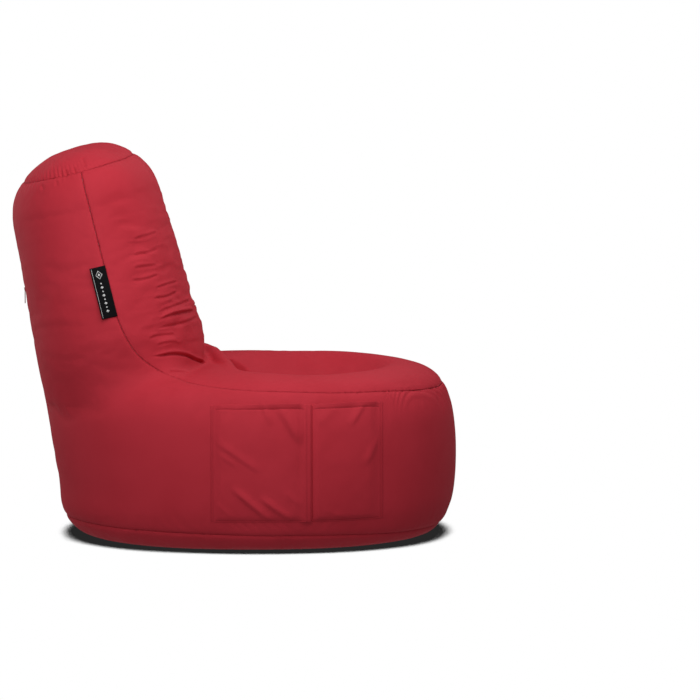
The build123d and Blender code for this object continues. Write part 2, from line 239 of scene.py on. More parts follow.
def surface_nets(field, lo, hi, step):
    """A quad mesh of field's zero surface on a grid."""
    axes = [np.arange(a, b + step, step) for a, b in zip(lo, hi)]
    shape = tuple(len(a) for a in axes)
    f = np.empty(shape)
    for i, x in enumerate(axes[0]):
        gy, gz = np.meshgrid(axes[1], axes[2], indexing="ij")
        f[i] = field(np.column_stack([np.full(gy.size, x), gy.ravel(), gz.ravel()])).reshape(gy.shape)
    cells = tuple(n - 1 for n in shape)
    total, count = np.zeros(cells + (3,)), np.zeros(cells)
    corner = {}
    for c in np.ndindex(2, 2, 2):
        corner[c] = f[c[0]:c[0] + cells[0], c[1]:c[1] + cells[1], c[2]:c[2] + cells[2]]
    for c in np.ndindex(2, 2, 2):
        for axis in range(3):
            if c[axis]:
                continue
            e = list(c)
            e[axis] = 1
            fa, fb = corner[c], corner[tuple(e)]
            cross = (fa < 0) != (fb < 0)
            t = np.where(cross, fa / np.where(cross, fa - fb, 1), 0)
            for k in range(3):
                total[..., k] += np.where(cross, c[k] + (t if k == axis else 0), 0)
            count += cross
    used = count > 0
    index = np.full(cells, -1)
    index[used] = np.arange(used.sum())
    where = np.argwhere(used)
    verts = (where + total[used] / count[used][:, None]) * step + np.array([a[0] for a in axes])
    quads = []
    for axis in range(3):
        o1, o2 = (axis + 1) % 3, (axis + 2) % 3
        low = [slice(None)] * 3
        high = [slice(None)] * 3
        low[axis], high[axis] = slice(0, -1), slice(1, None)
        fa, fb = f[tuple(low)], f[tuple(high)]
        at = np.argwhere((fa < 0) != (fb < 0))
        at = at[(at[:, o1] > 0) & (at[:, o2] > 0) & (at[:, o1] < shape[o1] - 1) & (at[:, o2] < shape[o2] - 1)]
        inside = fa[tuple(at.T)] < 0
        ring = []
        for d1, d2 in ((-1, -1), (0, -1), (0, 0), (-1, 0)):
            q = at.copy()
            q[:, o1] += d1
            q[:, o2] += d2
            ring.append(index[tuple(q.T)])
        ring = np.stack(ring, 1)
        ring[~inside] = ring[~inside][:, ::-1]
        quads.append(ring)
    return verts, np.concatenate(quads)


def edges_of(faces):
    n = faces.shape[1]
    e = np.concatenate([faces[:, [i, (i + 1) % n]] for i in range(n)])
    return np.unique(np.sort(e, axis=1), axis=0)


def neighbour_mean(v, edges, values):
    out = np.zeros_like(values)
    n = np.bincount(edges.ravel(), minlength=len(v)).astype(float)
    for k in range(values.shape[1]):
        out[:, k] = np.bincount(edges[:, 0], values[edges[:, 1], k], len(v))
        out[:, k] += np.bincount(edges[:, 1], values[edges[:, 0], k], len(v))
    return out / np.maximum(n, 1)[:, None]


def project(p, field, rounds=2, limit=4.0):
    for _ in range(rounds):
        f = field(p)
        g = np.empty_like(p)
        for k in range(3):
            q = p.copy()
            q[:, k] += 0.5
            r = p.copy()
            r[:, k] -= 0.5
            g[:, k] = field(q) - field(r)
        step = f[:, None] * g / np.maximum((g**2).sum(1), 1e-6)[:, None]
        size = np.linalg.norm(step, axis=1)
        p = p - step * (np.minimum(size, limit) / np.maximum(size, 1e-9))[:, None]
    return p


def relaxed_skin(step, inset=0.0):
    """An even quad mesh of the stuffed shape, or of the shape that lies inset inside it."""
    def field(p):
        return chair_field(p) + inset

    verts, quads = surface_nets(field, (-545, -405, -21), (455, 406, 850), step)
    edges = edges_of(quads)
    for _ in range(8):
        verts = verts + 0.55 * (neighbour_mean(verts, edges, verts) - verts)
        verts = project(verts, field, 1)
    verts = project(verts, field, 2)
    verts[:, 2] = np.maximum(verts[:, 2], inset)
    return verts, quads


# ---------------------------------------------------------------- seams, as fields that are zero on the seam
def cap_field(p):
    return back_frame(p)[1]


def base_field(p):
    c, s = math.cos(BASE_SEAM_TILT), math.sin(BASE_SEAM_TILT)
    return (p[:, 2] - BASE_SEAM_Z) * c + p[:, 0] * s


def hollow_ratio(p):
    d = (p - np.array(HOLLOW_CENTRE)) / np.array(HOLLOW_REACH)
    return np.linalg.norm(d, axis=1)


def side_field(p):
    """Above zero on the front panel, below on the wall panels."""
    f = seam_side(p[:, 0], p[:, 2])
    return np.maximum(f, 120 * (1.16 - hollow_ratio(p)))


def middle_field(p):
    return p[:, 1].copy()


def zip_coords(p):
    """Across the zip, up along it and out of the chair, as in the CAD."""
    c, s = math.cos(BACK_LEAN), math.sin(BACK_LEAN)
    foot = np.array([back_line_x(ZIP_START_Z), 0, ZIP_START_Z])
    d = p - foot
    return -d[:, 1], d @ np.array([-s, 0, c]), d @ np.array([-c, 0, -s])


def slot_field(p):
    """Below zero in the slit that the zip's slider runs in."""
    across, along, _ = zip_coords(p)
    f = np.maximum(np.abs(across) - 6.5, np.maximum(-4.0 - along, along - ZIP_LENGTH - 4.0))
    return np.where(p[:, 0] < -300, f, 50.0)


def value_table():
    return np.random.default_rng(SEED).uniform(-1, 1, (32, 32, 32))


NOISE = value_table()


def noise(p, cell):
    """Smooth value noise in three dimensions, from -1 to 1. cell is one size or one per axis."""
    q = p / np.asarray(cell, float)
    i = np.floor(q).astype(int)
    f = q - i
    f = f * f * f * (f * (f * 6 - 15) + 10)
    i %= 32
    j = (i + 1) % 32
    out = 0
    for cx in (0, 1):
        wx = f[:, 0] if cx else 1 - f[:, 0]
        ix = j[:, 0] if cx else i[:, 0]
        for cy in (0, 1):
            wy = f[:, 1] if cy else 1 - f[:, 1]
            iy = j[:, 1] if cy else i[:, 1]
            for cz in (0, 1):
                wz = f[:, 2] if cz else 1 - f[:, 2]
                iz = j[:, 2] if cz else i[:, 2]
                out = out + wx * wy * wz * NOISE[ix, iy, iz]
    return out


def noise1(t, cell, row=0):
    p = np.zeros((len(t), 3))
    p[:, 0] = t
    p[:, 1] = 3.3 + 7.1 * row
    p[:, 2] = 1.7 * row
    return noise(p, (cell, 1, 1))


def new_mesh(name, v, faces):
    mesh = bpy.data.meshes.new(name)
    v = np.asarray(v, float) * MM
    faces = [np.asarray(f) for f in (faces if isinstance(faces, list) else [faces]) if len(f)]
    mesh.vertices.add(len(v))
    mesh.vertices.foreach_set("co", v.astype(np.float32).ravel())
    loops = np.concatenate([f.ravel() for f in faces]).astype(np.int32)
    sizes = np.concatenate([np.full(len(f), f.shape[1]) for f in faces]).astype(np.int32)
    starts = np.concatenate([[0], np.cumsum(sizes)[:-1]]).astype(np.int32)
    mesh.loops.add(len(loops))
    mesh.loops.foreach_set("vertex_index", loops)
    mesh.polygons.add(len(sizes))
    mesh.polygons.foreach_set("loop_start", starts)
    mesh.polygons.foreach_set("loop_total", sizes)
    mesh.polygons.foreach_set("use_smooth", np.ones(len(sizes), bool))
    mesh.update(calc_edges=True)
    mesh.validate()
    obj = bpy.data.objects.new(name, mesh)
    bpy.context.scene.collection.objects.link(obj)
    return obj


def read_points(obj):
    mesh = obj.evaluated_get(bpy.context.evaluated_depsgraph_get()).data
    co = np.empty(len(mesh.vertices) * 3, np.float32)
    mesh.vertices.foreach_get("co", co)
    return co.reshape(-1, 3).astype(float) / MM


def normals_of(v, faces):
    n = np.zeros_like(v)
    for i in range(1, faces.shape[1] - 1):
        a, b, c = v[faces[:, 0]], v[faces[:, i]], v[faces[:, i + 1]]
        w = np.cross(b - a, c - a)
        for k in (0, i, i + 1):
            for x in range(3):
                n[:, x] += np.bincount(faces[:, k], w[:, x], len(v))
    return n / np.maximum(np.linalg.norm(n, axis=1), 1e-9)[:, None]


# ---------------------------------------------------------------- the stuffed cover
def settled(v, faces):
    """The cover's cloth pushed out by the beads, its seams and foot held: a short cloth simulation."""
    cloth = new_mesh("settling_cover", v, faces)
    hold = cloth.vertex_groups.new(name="held")
    away = np.minimum(np.abs(cap_field(v)), np.abs(base_field(v)))
    away = np.minimum(away, np.abs(side_field(v)))
    rear = (v[:, 0] < -330) & (side_field(v) < 0)
    zip_near = rear & (np.abs(v[:, 1]) < 26) & (v[:, 2] < 560)
    held = (away < 4.5) | (rear & (np.abs(v[:, 1]) < 4.5)) | zip_near | (v[:, 2] < 2.0)
    hold.add([int(i) for i in np.nonzero(held)[0]], 1.0, "REPLACE")
    mod = cloth.modifiers.new("cloth", "CLOTH")
    c = mod.settings
    c.quality = 4
    c.mass = 0.25
    c.tension_stiffness = c.compression_stiffness = 18.0
    c.shear_stiffness = 8.0
    c.bending_stiffness = 0.35
    c.tension_damping = c.compression_damping = 12.0
    c.air_damping = 4.0
    c.vertex_group_mass = "held"
    c.use_pressure = True
    c.uniform_pressure_force = 3.0
    c.shrink_min = -0.022
    c.effector_weights.gravity = 0.0
    mod.collision_settings.use_collision = False
    scene = bpy.context.scene
    mod.point_cache.frame_start, mod.point_cache.frame_end = 1, 14
    for frame_no in range(1, 15):
        scene.frame_set(frame_no)
    after = read_points(cloth)
    scene.frame_set(1)
    bpy.data.objects.remove(cloth)
    move = SETTLE_SHARE * (after - v)
    size = np.linalg.norm(move, axis=1)
    return v + move * (np.minimum(size, 11.0) / np.maximum(size, 1e-9))[:, None]


def subdivided(v, faces):
    temp = new_mesh("subdividing", v, faces)
    mod = temp.modifiers.new("sub", "SUBSURF")
    mod.levels = mod.render_levels = 1
    mesh = temp.evaluated_get(bpy.context.evaluated_depsgraph_get()).data
    co = np.empty(len(mesh.vertices) * 3, np.float32)
    mesh.vertices.foreach_get("co", co)
    loops = np.empty(len(mesh.loops), np.int32)
    mesh.loops.foreach_get("vertex_index", loops)
    bpy.data.objects.remove(temp)
    return co.reshape(-1, 3).astype(float) / MM, loops.reshape(-1, 4)


def snap_to(v, tris, field, locked):
    """Moves vertices onto field's zero line, so that every triangle lies on one side of it."""
    f = field(v)
    f[np.abs(f) < 1e-6] = 0
    edges = edges_of(tris)
    for _ in range(6):
        a, b = edges[:, 0], edges[:, 1]
        at = (f[a] * f[b]) < 0
        a, b = a[at], b[at]
        if not len(a):
            break
        cost_a, cost_b = np.abs(f[a]), np.abs(f[b])
        cost_a = cost_a + 1e3 * (locked[a] & ~locked[b])
        cost_b = cost_b + 1e3 * (locked[b] & ~locked[a])
        pick = np.where(cost_a <= cost_b, a, b)
        other = np.where(cost_a <= cost_b, b, a)
        t = np.abs(f[pick]) / (np.abs(f[pick]) + np.abs(f[other]))
        order = np.lexsort((t, pick))
        pick, other, t = pick[order], other[order], t[order]
        first = np.concatenate([[True], pick[1:] != pick[:-1]])
        pick, other, t = pick[first], other[first], t[first]
        v[pick] = v[pick] + t[:, None] * (v[other] - v[pick])
        f[pick] = 0
    return v, f


def side_of(f, tris):
    return f[tris].sum(1) > 0


def stroke(p, pts, both_sides=False, near=30.0):
    """Distance to a 3-D polyline, signed by height above it, and how far along it, from 0 to 1."""
    q = p.copy()
    if both_sides:
        q[:, 1] = -np.abs(q[:, 1])
    best = np.full(len(p), 1e9)
    above = np.zeros(len(p))
    along = np.zeros(len(p))
    lo, hi = pts.min(0) - near, pts.max(0) + near
    at = np.nonzero(((q > lo) & (q < hi)).all(1))[0]
    length = np.linalg.norm(np.diff(pts, axis=0), axis=1)
    start = np.concatenate([[0], np.cumsum(length)])
    for i in range(len(pts) - 1):
        d = pts[i + 1] - pts[i]
        r = q[at] - pts[i]
        t = np.clip(r @ d / (d @ d), 0, 1)
        gap = r - t[:, None] * d
        dist = np.linalg.norm(gap, axis=1)
        closer = dist < best[at]
        k = at[closer]
        best[k] = dist[closer]
        above[k] = gap[closer, 2]
        along[k] = (start[i] + t[closer] * length[i]) / start[-1]
    return best, above, along


def fold(p, line, depth, width, lip=0.0, both_sides=False, ends=0.18):
    """A crease along a line, with a soft lip above it, or below it if lip is negative."""
    dist, above, along = stroke(p, line, both_sides)
    fade = ramp(along, 0, ends) * ramp(1 - along, 0, ends)
    width = width * (0.55 + 0.45 * fade)
    out = -depth * np.exp(-((dist / width) ** 2))
    if lip:
        side = ramp(above * np.sign(lip), 0, width)
        out += abs(lip) * side * np.exp(-(((dist - 1.8 * width) / (1.2 * width)) ** 2))
    return out * fade


def pucker(t, wave, wander, row):
    """Narrow valleys between round crests along a seam, from -1 in a valley to 0."""
    t = t + wander * noise1(t, 3.2 * wave, row)
    s = 0.5 + 0.5 * np.cos(2 * math.pi * t / wave)
    return -(s**1.5) * (0.55 + 0.45 * noise1(t, 2.1 * wave, row + 1))


def cover_relief(p):
    """How far the cloth stands off its smooth skin, along the normal: seams, puckers, wrinkles and folds."""
    x, y, z = p.T
    a, h = back_frame(p)
    base, side = base_field(p), side_field(p)
    ratio = hollow_ratio(p)
    walls = ramp(-side, -2, 2) * ramp(ratio, 1.15, 1.2)
    out = 1.6 * noise(p, 170) + 0.9 * noise(p + 50, 74)

    # seams lie in a shallow valley with fuller cloth beside them
    rear_middle = np.where((x < -300) & (h < 0), np.abs(y), 1e3)
    front_middle = np.where((x > 300) & (walls > 0.5) & (base > 0), np.abs(y), 1e3)
    wall_seam = np.where(ratio > 1.17, np.abs(seam_side(x, z)), 1e3)
    wall_seam = np.where(h > 0, 1e3, wall_seam)
    for gap, deep in ((np.abs(h) + 1e3 * (x > -150), 1.7), (np.abs(base), 1.8), (wall_seam, 1.2),
                      (rear_middle, 1.2), (front_middle, 1.2)):
        out -= deep * np.exp(-((gap / 3.2) ** 2))
        out += 0.25 * deep * np.exp(-(((gap - 13) / 9) ** 2))

    # gathers round the cap
    front = 276 + 0.039 * (BACK_START - np.minimum(h, BACK_START))
    turn = np.arctan2(y / 232.0, (a - (front - 20) / 2) / 130.0)
    arc = 196.0 * turn
    flank = np.exp(-(((np.abs(turn) - 1.82) / 0.42) ** 2))
    rear = ramp(np.abs(turn), 1.5, 2.4)
    strength = 0.8 + 3.4 * flank + 1.5 * rear
    reach = 19 + 13 * flank * (0.6 + 0.6 * noise1(arc, 31, 5))
    up = np.clip(h, 0, None)
    gather = pucker(arc + 0.12 * up, 13.5, 5.0, 2) * np.exp(-((up / reach) ** 1.7)) * (h >= 0)
    out += strength * gather * (np.abs(h) < 90) * (z > 600)
    down = np.clip(-h, 0, None)
    gather = pucker(arc - 0.1 * down, 15.5, 5.0, 9) * np.exp(-((down / 15) ** 1.6)) * (h < 0)
    out += (0.6 + 1.3 * rear) * gather * (z > 600)

    # short puckers at the rim seam, strongest round the nose, and along the base seam
    run = seam_arc(x, z) + 0.75 * np.abs(y) * ramp(x, 150, 330)
    below = np.clip(-side, 0, None)
    nose = ramp(x, 225, 300) * (1 - ramp(x, 400, 440))
    fade = np.exp(-((below / 20) ** 1.6)) * walls
    out += (0.3 + 3.4 * nose) * pucker(run - 0.25 * below, 12.5, 3.0, 14) * fade
    over = np.clip(side, 0, None)
    fade = np.exp(-((over / 15) ** 1.6)) * (1 - walls) * ramp(ratio, 1.17, 1.3)
    out += (0.15 + 0.55 * nose) * pucker(run + 0.2 * over, 11.0, 3.5, 19) * fade
    ring = 380 * np.arctan2(y, x)
    up = np.clip(base, 0, None)
    out += 0.5 * pucker(ring, 16.0, 6.0, 23) * np.exp(-((up / 16) ** 1.6)) * (base >= 0)
    down = np.clip(-base, 0, None)
    out += 0.6 * pucker(ring, 14.0, 5.0, 27) * np.exp(-((down / 14) ** 1.6)) * (base < 0)

    # fine cross wrinkles where the back's front turns to its side
    bend = (a - 130) / 145.0
    belt = ramp(bend, 0.30, 0.62) * ramp(side, 6, 30) * (h < 0)
    tall = ramp(z, 380, 430) * (1 - ramp(z, 640, 760))
    slant = z - 0.20 * x - 0.10 * np.abs(y)
    warp = np.column_stack([x + 0.3 * y, y, slant + 5 * noise(p, 46)])
    fine = noise(warp, (62, 70, 10.5))
    broad = noise(warp + 31, (95, 100, 21))
    crest = 1 - 2 * np.abs(noise(warp + 77, (80, 85, 15)))
    patch = 0.45 + 0.55 * ramp(noise(p + 9, 78), -0.4, 0.5)
    out += 2.4 * belt * tall * patch * (0.85 * fine + 0.8 * broad + 0.6 * crest)
    # short slanting gathers where the pockets' foot draws the wall up
    under = np.exp(-(((z - 58) / 9) ** 2)) * ramp(x, -72, -40) * (1 - ramp(x, 62, 90)) * (y < 0) * walls
    out += 1.6 * under * pucker(x + 0.9 * z, 19.0, 5.0, 33)
    # slack under the shoulders on the sides and the rear, much softer
    slack = ramp(z, 330, 470) * (1 - ramp(z, 560, 700)) * (1 - belt)
    out += 0.42 * slack * walls * noise(warp + 13, (130, 130, 15))
    out += 0.8 * slack * noise(warp + 23, (190, 190, 34))
    return out


def stuffed_skin():
    v, faces = relaxed_skin(GRID)
    v = settled(v, faces)
    v, faces = subdivided(v, faces)
    v[:, 2] = np.where(v[:, 2] < 0.6, 0.0, v[:, 2])
    tris = np.concatenate([faces[:, [0, 1, 2]], faces[:, [0, 2, 3]]])
    return v, tris


def flattened_at_zip(p):
    """The rear cloth lies flat along the zip, its face in the zip's own plane."""
    across, along, out = zip_coords(p)
    w = (1 - ramp(np.abs(across), 16, 60)) * ramp(along, -20, -7)
    w = w * (1 - ramp(along, ZIP_LENGTH + 8, ZIP_LENGTH + 70))
    w = w * (1 - ramp(np.abs(out), 16, 34))
    return p - (w * out)[:, None] * np.array([-math.cos(BACK_LEAN), 0, -math.sin(BACK_LEAN)])


FOLDS = (
    # line, depth, width, lip, on both sides
    (((-210, -268, 391), (-190, -253, 391), (-161, -216, 391), (-138, -167, 382), (-119, -119, 368),
      (-97, -50, 355)),
     5.2, 2.8, 2.4, True),
    (((-174, -258, 357), (-150, -236, 357), (-130, -212, 354)), 2.0, 2.8, 0.8, True),
    (((-196, -240, 459), (-186, -229, 465), (-161, -175, 469), (-135, -45, 463)), 2.6, 3.2, 3.6, False),
    (((-200, -253, 446), (-165, -199, 448), (-144, -139, 449), (-130, -26, 449)), 1.6, 3.2, 1.4, False),
    (((-196, -240, 478), (-161, -175, 486), (-135, -60, 488)), 1.8, 3.4, 1.6, True),
    (((-215, -271, 427), (-190, -247, 431), (-160, -200, 430)), 1.6, 3.2, 1.4, True),
    (((-200, -256, 412), (-176, -232, 415), (-152, -200, 413)), 1.3, 3.0, 1.0, True),
    (((-205, -235, 506), (-180, -194, 506), (-161, -137, 512)), 1.8, 3.0, 1.6, True),
    (((-196, -225, 528), (-178, -190, 531), (-166, -120, 530)), 1.5, 3.0, 1.3, True),
    (((-248, -260, 545), (-219, -234, 546), (-190, -195, 553)), 1.5, 3.2, 1.3, True),
    (((-244, -249, 570), (-219, -223, 571), (-196, -190, 571)), 1.3, 3.2, 1.2, True),
    (((-240, -244, 596), (-212, -212, 600), (-196, -170, 603)), 1.2, 3.2, 1.1, True),
    (((-236, -236, 628), (-210, -200, 634), (-200, -150, 636)), 1.0, 3.4, 0.9, True),
    (((-350, -188, 795), (-344, -212, 780), (-340, -219, 774)), 1.8, 3.2, 0.0, True),
    (((-366, -216, 775), (-361, -230, 762)), 2.2, 3.4, 0.0, True),
    (((-383, -217, 771), (-379, -231, 757)), 2.2, 3.4, 0.0, True),
    (((-395, -215, 768), (-389, -230, 754)), 1.8, 3.4, 0.0, True),
    (((-434, -211, 738), (-427, -225, 727)), 1.6, 3.4, 0.0, True),
    (((-402, -230, 747), (-399, -238, 737)), 1.2, 3.2, 0.0, True),
    (((-450, -141, 434), (-393, -255, 452), (-330, -289, 453)), 0.9, 9.0, 0.5, True),
)


FIELDS = {
    "slot": slot_field, "cap": cap_field, "base": base_field, "side": side_field, "middle": middle_field,
}


def refined(v, tris, close):
    """Every edge whose middle is close to a fold is halved, and the triangles on it with it."""
    edges = np.sort(edges_of(tris), axis=1)
    split = edges[close((v[edges[:, 0]] + v[edges[:, 1]]) / 2)]
    code = split[:, 0].astype(np.int64) * len(v) + split[:, 1]
    order = np.argsort(code)
    code, split = code[order], split[order]
    middle = len(v) + np.arange(len(split))

    def half(a, b):
        want = np.minimum(a, b).astype(np.int64) * len(v) + np.maximum(a, b)
        at = np.minimum(np.searchsorted(code, want), len(code) - 1)
        return np.where(code[at] == want, middle[at], -1)

    a, b, c = tris.T
    ab, bc, ca = half(a, b), half(b, c), half(c, a)
    count = (ab >= 0).astype(int) + (bc >= 0) + (ca >= 0)
    rows = [tris[count == 0]]
    k = count == 3
    for t in ((a, ab, ca), (ab, b, bc), (ca, bc, c), (ab, bc, ca)):
        rows.append(np.column_stack(t)[k])
    for p, q, r, pq, qr, rp in ((a, b, c, ab, bc, ca), (b, c, a, bc, ca, ab), (c, a, b, ca, ab, bc)):
        k = (count == 1) & (pq >= 0)
        rows += [np.column_stack((p, pq, r))[k], np.column_stack((pq, q, r))[k]]
        k = (count == 2) & (rp < 0)
        rows += [np.column_stack(t)[k] for t in ((pq, q, qr), (p, pq, qr), (p, qr, r))]
    return np.concatenate([v, (v[split[:, 0]] + v[split[:, 1]]) / 2]), np.concatenate(rows)


def cover_surface():
    v, tris = stuffed_skin()
    v = flattened_at_zip(v)
    skin = BVHTree.FromPolygons(v.tolist(), tris.tolist())
    lines = []
    for line, *_ in FOLDS:
        lines.append(np.array([skin.find_nearest(q)[0] for q in curve_points(line, 8).tolist()]))

    def close(p):
        near_fold = np.zeros(len(p), bool)
        for pts, (_, _, width, _, both) in zip(lines, FOLDS):
            near_fold |= stroke(p, pts, both)[0] < 3.2 * width
        return near_fold & (p[:, 1] < 0)

    v, tris = refined(v, tris, close)
    locked = np.zeros(len(v), bool)
    marks = {}
    for name, field in FIELDS.items():
        v, f = snap_to(v, tris, field, locked)
        marks[name] = f
        locked |= (f == 0) & (name != "middle")
    n = normals_of(v, tris)
    lift = cover_relief(v)
    for pts, (_, depth, width, lip, both) in zip(lines, FOLDS):
        lift += fold(v, pts, depth, width, lip, both)
    across, along, _ = zip_coords(v)
    calm = (1 - ramp(np.abs(across), 12, 40)) * ramp(along, -30, -6)
    calm = calm * (1 - ramp(along, ZIP_LENGTH + 6, ZIP_LENGTH + 40))
    calm = calm * (v[:, 0] < -300)
    lift *= ramp(v[:, 2], 0.2, 14) * (1 - calm)
    moved = v + lift[:, None] * n
    moved[:, 2] = np.maximum(moved[:, 2], 0)
    marks = {name: np.where(marks[name] == 0, 0.0, field(v)) for name, field in FIELDS.items()}
    return moved, tris, marks


def panel_of(tris, marks):
    """0 cap, 1 base, 2 front, 3 right wall, 4 left wall."""
    up = side_of(marks["cap"], tris)
    low = ~side_of(marks["base"], tris)
    ahead = side_of(marks["side"], tris)
    left = side_of(marks["middle"], tris)
    return np.where(up, 0, np.where(low, 1, np.where(ahead, 2, np.where(left, 4, 3))))


def border_loops(tris):
    """Directed border edges of a set of triangles."""
    e = np.concatenate([tris[:, [0, 1]], tris[:, [1, 2]], tris[:, [2, 0]]])
    key = np.sort(e, axis=1)
    order = np.lexsort((key[:, 1], key[:, 0]))
    key, e = key[order], e[order]
    same = (key[1:] == key[:-1]).all(1)
    single = np.ones(len(e), bool)
    single[1:][same] = False
    single[:-1][same] = False
    return e[single]


def panel_mesh(v, tris, gap=0.28, turned_in=4.0):
    """One sewn panel: its edge drawn back a little from the seam and turned into the chair."""
    used, inverse = np.unique(tris, return_inverse=True)
    t = inverse.reshape(tris.shape)
    p = v[used].copy()
    n = normals_of(p, t)
    rim = border_loops(t)
    on_rim = np.zeros(len(p), bool)
    on_rim[rim.ravel()] = True
    edges = edges_of(t)
    inner = edges[~on_rim[edges].all(1)]
    pull = neighbour_mean(p, inner, p) - p
    pull -= (pull * n).sum(1)[:, None] * n
    size = np.linalg.norm(pull, axis=1)
    pull = pull * (on_rim & (size > 1e-6) & (size < 20))[:, None] / np.maximum(size, 1e-6)[:, None]
    p = p + gap * pull
    rim_ids = np.nonzero(on_rim)[0]
    rows = [p]
    start = len(p)
    faces4 = []
    previous = np.arange(len(p))
    for depth, back in ((1.2, 0.1), (turned_in, 0.6)):
        low = np.full(len(p), -1)
        low[rim_ids] = start + np.arange(len(rim_ids))
        ring = p[rim_ids] - depth * n[rim_ids] + back * pull[rim_ids]
        ring[:, 2] = np.maximum(ring[:, 2], 0.4)
        rows.append(ring)
        a, b = rim[:, 0], rim[:, 1]
        faces4.append(np.column_stack([previous[b], previous[a], low[a], low[b]]))
        previous = low
        start += len(rim_ids)
    return np.concatenate(rows), [t, *faces4]


# ---------------------------------------------------------------- small building blocks
def slab(top, bottom):
    """A closed skin round two matching grids of points; rows crossed with columns point outwards."""
    n, m = top.shape[:2]
    i = np.arange(n * m).reshape(n, m)
    q = np.stack([i[:-1, :-1], i[1:, :-1], i[1:, 1:], i[:-1, 1:]], -1).reshape(-1, 4)
    loop = np.concatenate([i[0, :-1], i[:-1, -1], i[-1, :0:-1], i[:0:-1, 0]])
    after = np.roll(loop, -1)
    rim = np.stack([loop, after, after + n * m, loop + n * m], -1)
    points = np.concatenate([top.reshape(-1, 3), bottom.reshape(-1, 3)])
    return points, np.concatenate([q, q[:, ::-1] + n * m, rim])


def tube(line, first, second, radius, sides):
    """A round tube along points, with two unit vectors square to the line at each point."""
    turn = 2 * math.pi * np.arange(sides) / sides
    c, s = np.cos(turn)[None, :, None], np.sin(turn)[None, :, None]
    ring = radius * (c * first[:, None, :] + s * second[:, None, :])
    v = (line[:, None, :] + ring).reshape(-1, 3)
    n = len(line)
    i = np.arange(n * sides).reshape(n, sides)
    j = np.roll(i, -1, axis=1)
    q = np.stack([i[:-1], j[:-1], j[1:], i[1:]], -1).reshape(-1, 4)
    first_end = [[n * sides, j[0, k], i[0, k]] for k in range(sides)]
    last_end = [[n * sides + 1, i[-1, k], j[-1, k]] for k in range(sides)]
    return np.concatenate([v, line[:1], line[-1:]]), q, np.array(first_end + last_end)


def joined(parts):
    """One vertex array and one list of face arrays out of several (vertices, faces, faces...)."""
    v, faces, start = [], [], 0
    for points, *groups in parts:
        v.append(points)
        faces += [g + start for g in groups]
        start += len(points)
    return np.concatenate(v), faces


def unit(v):
    return v / np.maximum(np.linalg.norm(v, axis=-1, keepdims=True), 1e-9)


def stitches(rows, pitch=3.4, length=2.5, radius=0.3):
    """Sewing thread along lines on a surface: one small bowed strand for each stitch."""
    steps = np.array([0.0, 0.1, 0.35, 0.65, 0.9, 1.0])
    height = np.array([-0.5, 0.02, 0.2, 0.2, 0.02, -0.5])
    sides = 5
    turn = 2 * math.pi * np.arange(sides) / sides
    shape = np.zeros((len(steps), sides, 3))
    shape[..., 0] = (steps[:, None] - 0.5) * length
    shape[..., 1] = radius * np.cos(turn)
    shape[..., 2] = height[:, None] + 0.75 * radius * np.sin(turn)
    shape = shape.reshape(-1, 3)
    i = np.arange(len(shape)).reshape(len(steps), sides)
    j = np.roll(i, -1, axis=1)
    quads = np.stack([i[:-1], j[:-1], j[1:], i[1:]], -1).reshape(-1, 4)
    parts = []
    for line, out in rows:
        arc = np.concatenate([[0], np.cumsum(np.linalg.norm(np.diff(line, axis=0), axis=1))])
        at = np.arange(pitch / 2, arc[-1], pitch)
        mid = np.column_stack([np.interp(at, arc, line[:, k]) for k in range(3)])
        ahead = np.column_stack([np.interp(at + 0.6, arc, line[:, k]) for k in range(3)])
        behind = np.column_stack([np.interp(at - 0.6, arc, line[:, k]) for k in range(3)])
        up = unit(np.column_stack([np.interp(at, arc, out[:, k]) for k in range(3)]))
        along = unit(ahead - behind)
        across = unit(np.cross(up, along))
        v = mid[:, None] + shape[None, :, :1] * along[:, None] + shape[None, :, 1:2] * across[:, None] \
            + shape[None, :, 2:] * up[:, None]
        start = len(shape) * np.arange(len(at))
        parts.append((v.reshape(-1, 3), (quads[None] + start[:, None, None]).reshape(-1, 4)))
    return joined(parts)


def piece(name, v, faces, *nodes, body="bag", slot="cover_fabric"):
    """A finished object on its body, standing for its CAD nodes."""
    obj = new_mesh(name, v, faces)
    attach(obj, body)
    if nodes:
        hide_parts(*nodes)
    return obj


# ---------------------------------------------------------------- the cover
skin, skin_tris, skin_marks = cover_surface()
panel = panel_of(skin_tris, skin_marks)
slot_face = ~side_of(skin_marks["slot"], skin_tris)
PANELS = ("cover_cap", "cover_base", "cover_front", "cover_wall_right", "cover_wall_left")
PANEL_NODES = ("top_cap", "base_panel", "front_panel", "side_panel_right", "side_panel_left")
pieces = {"cloth": [], "thread": [], "liner": [], "beads": [], "tape": [], "coil": [], "label": []}
for number, (name, node) in enumerate(zip(PANELS, PANEL_NODES)):
    v, faces = panel_mesh(skin, skin_tris[(panel == number) & ~slot_face])
    cover = piece(name, v, faces, node)
    pieces["cloth"].append(cover)
skin_tree = BVHTree.FromPolygons(skin.tolist(), skin_tris.tolist())


# ---------------------------------------------------------------- inner bag and beads
ZIP_FOOT = np.array([back_line_x(ZIP_START_Z), 0, ZIP_START_Z])
ZIP_UP = np.array([-math.sin(BACK_LEAN), 0, math.cos(BACK_LEAN)])
ZIP_OUT = np.array([-math.cos(BACK_LEAN), 0, -math.sin(BACK_LEAN)])
INNER_START, INNER_LENGTH, INNER_SINK = 50.0, 300.0, 9.4


def sunk_at_zip(p, floors):
    """Pushes p in behind the zips, below each depth within its half width."""
    for half, depth in floors:
        across, along, out = zip_coords(p)
        w = (1 - ramp(np.abs(across), half, half + 14)) * ramp(along, -44, -24)
        w = w * (1 - ramp(along, ZIP_LENGTH + 24, ZIP_LENGTH + 44)) * (out > -60)
        p = p - (np.maximum(0, out + depth) * w)[:, None] * ZIP_OUT
    return p


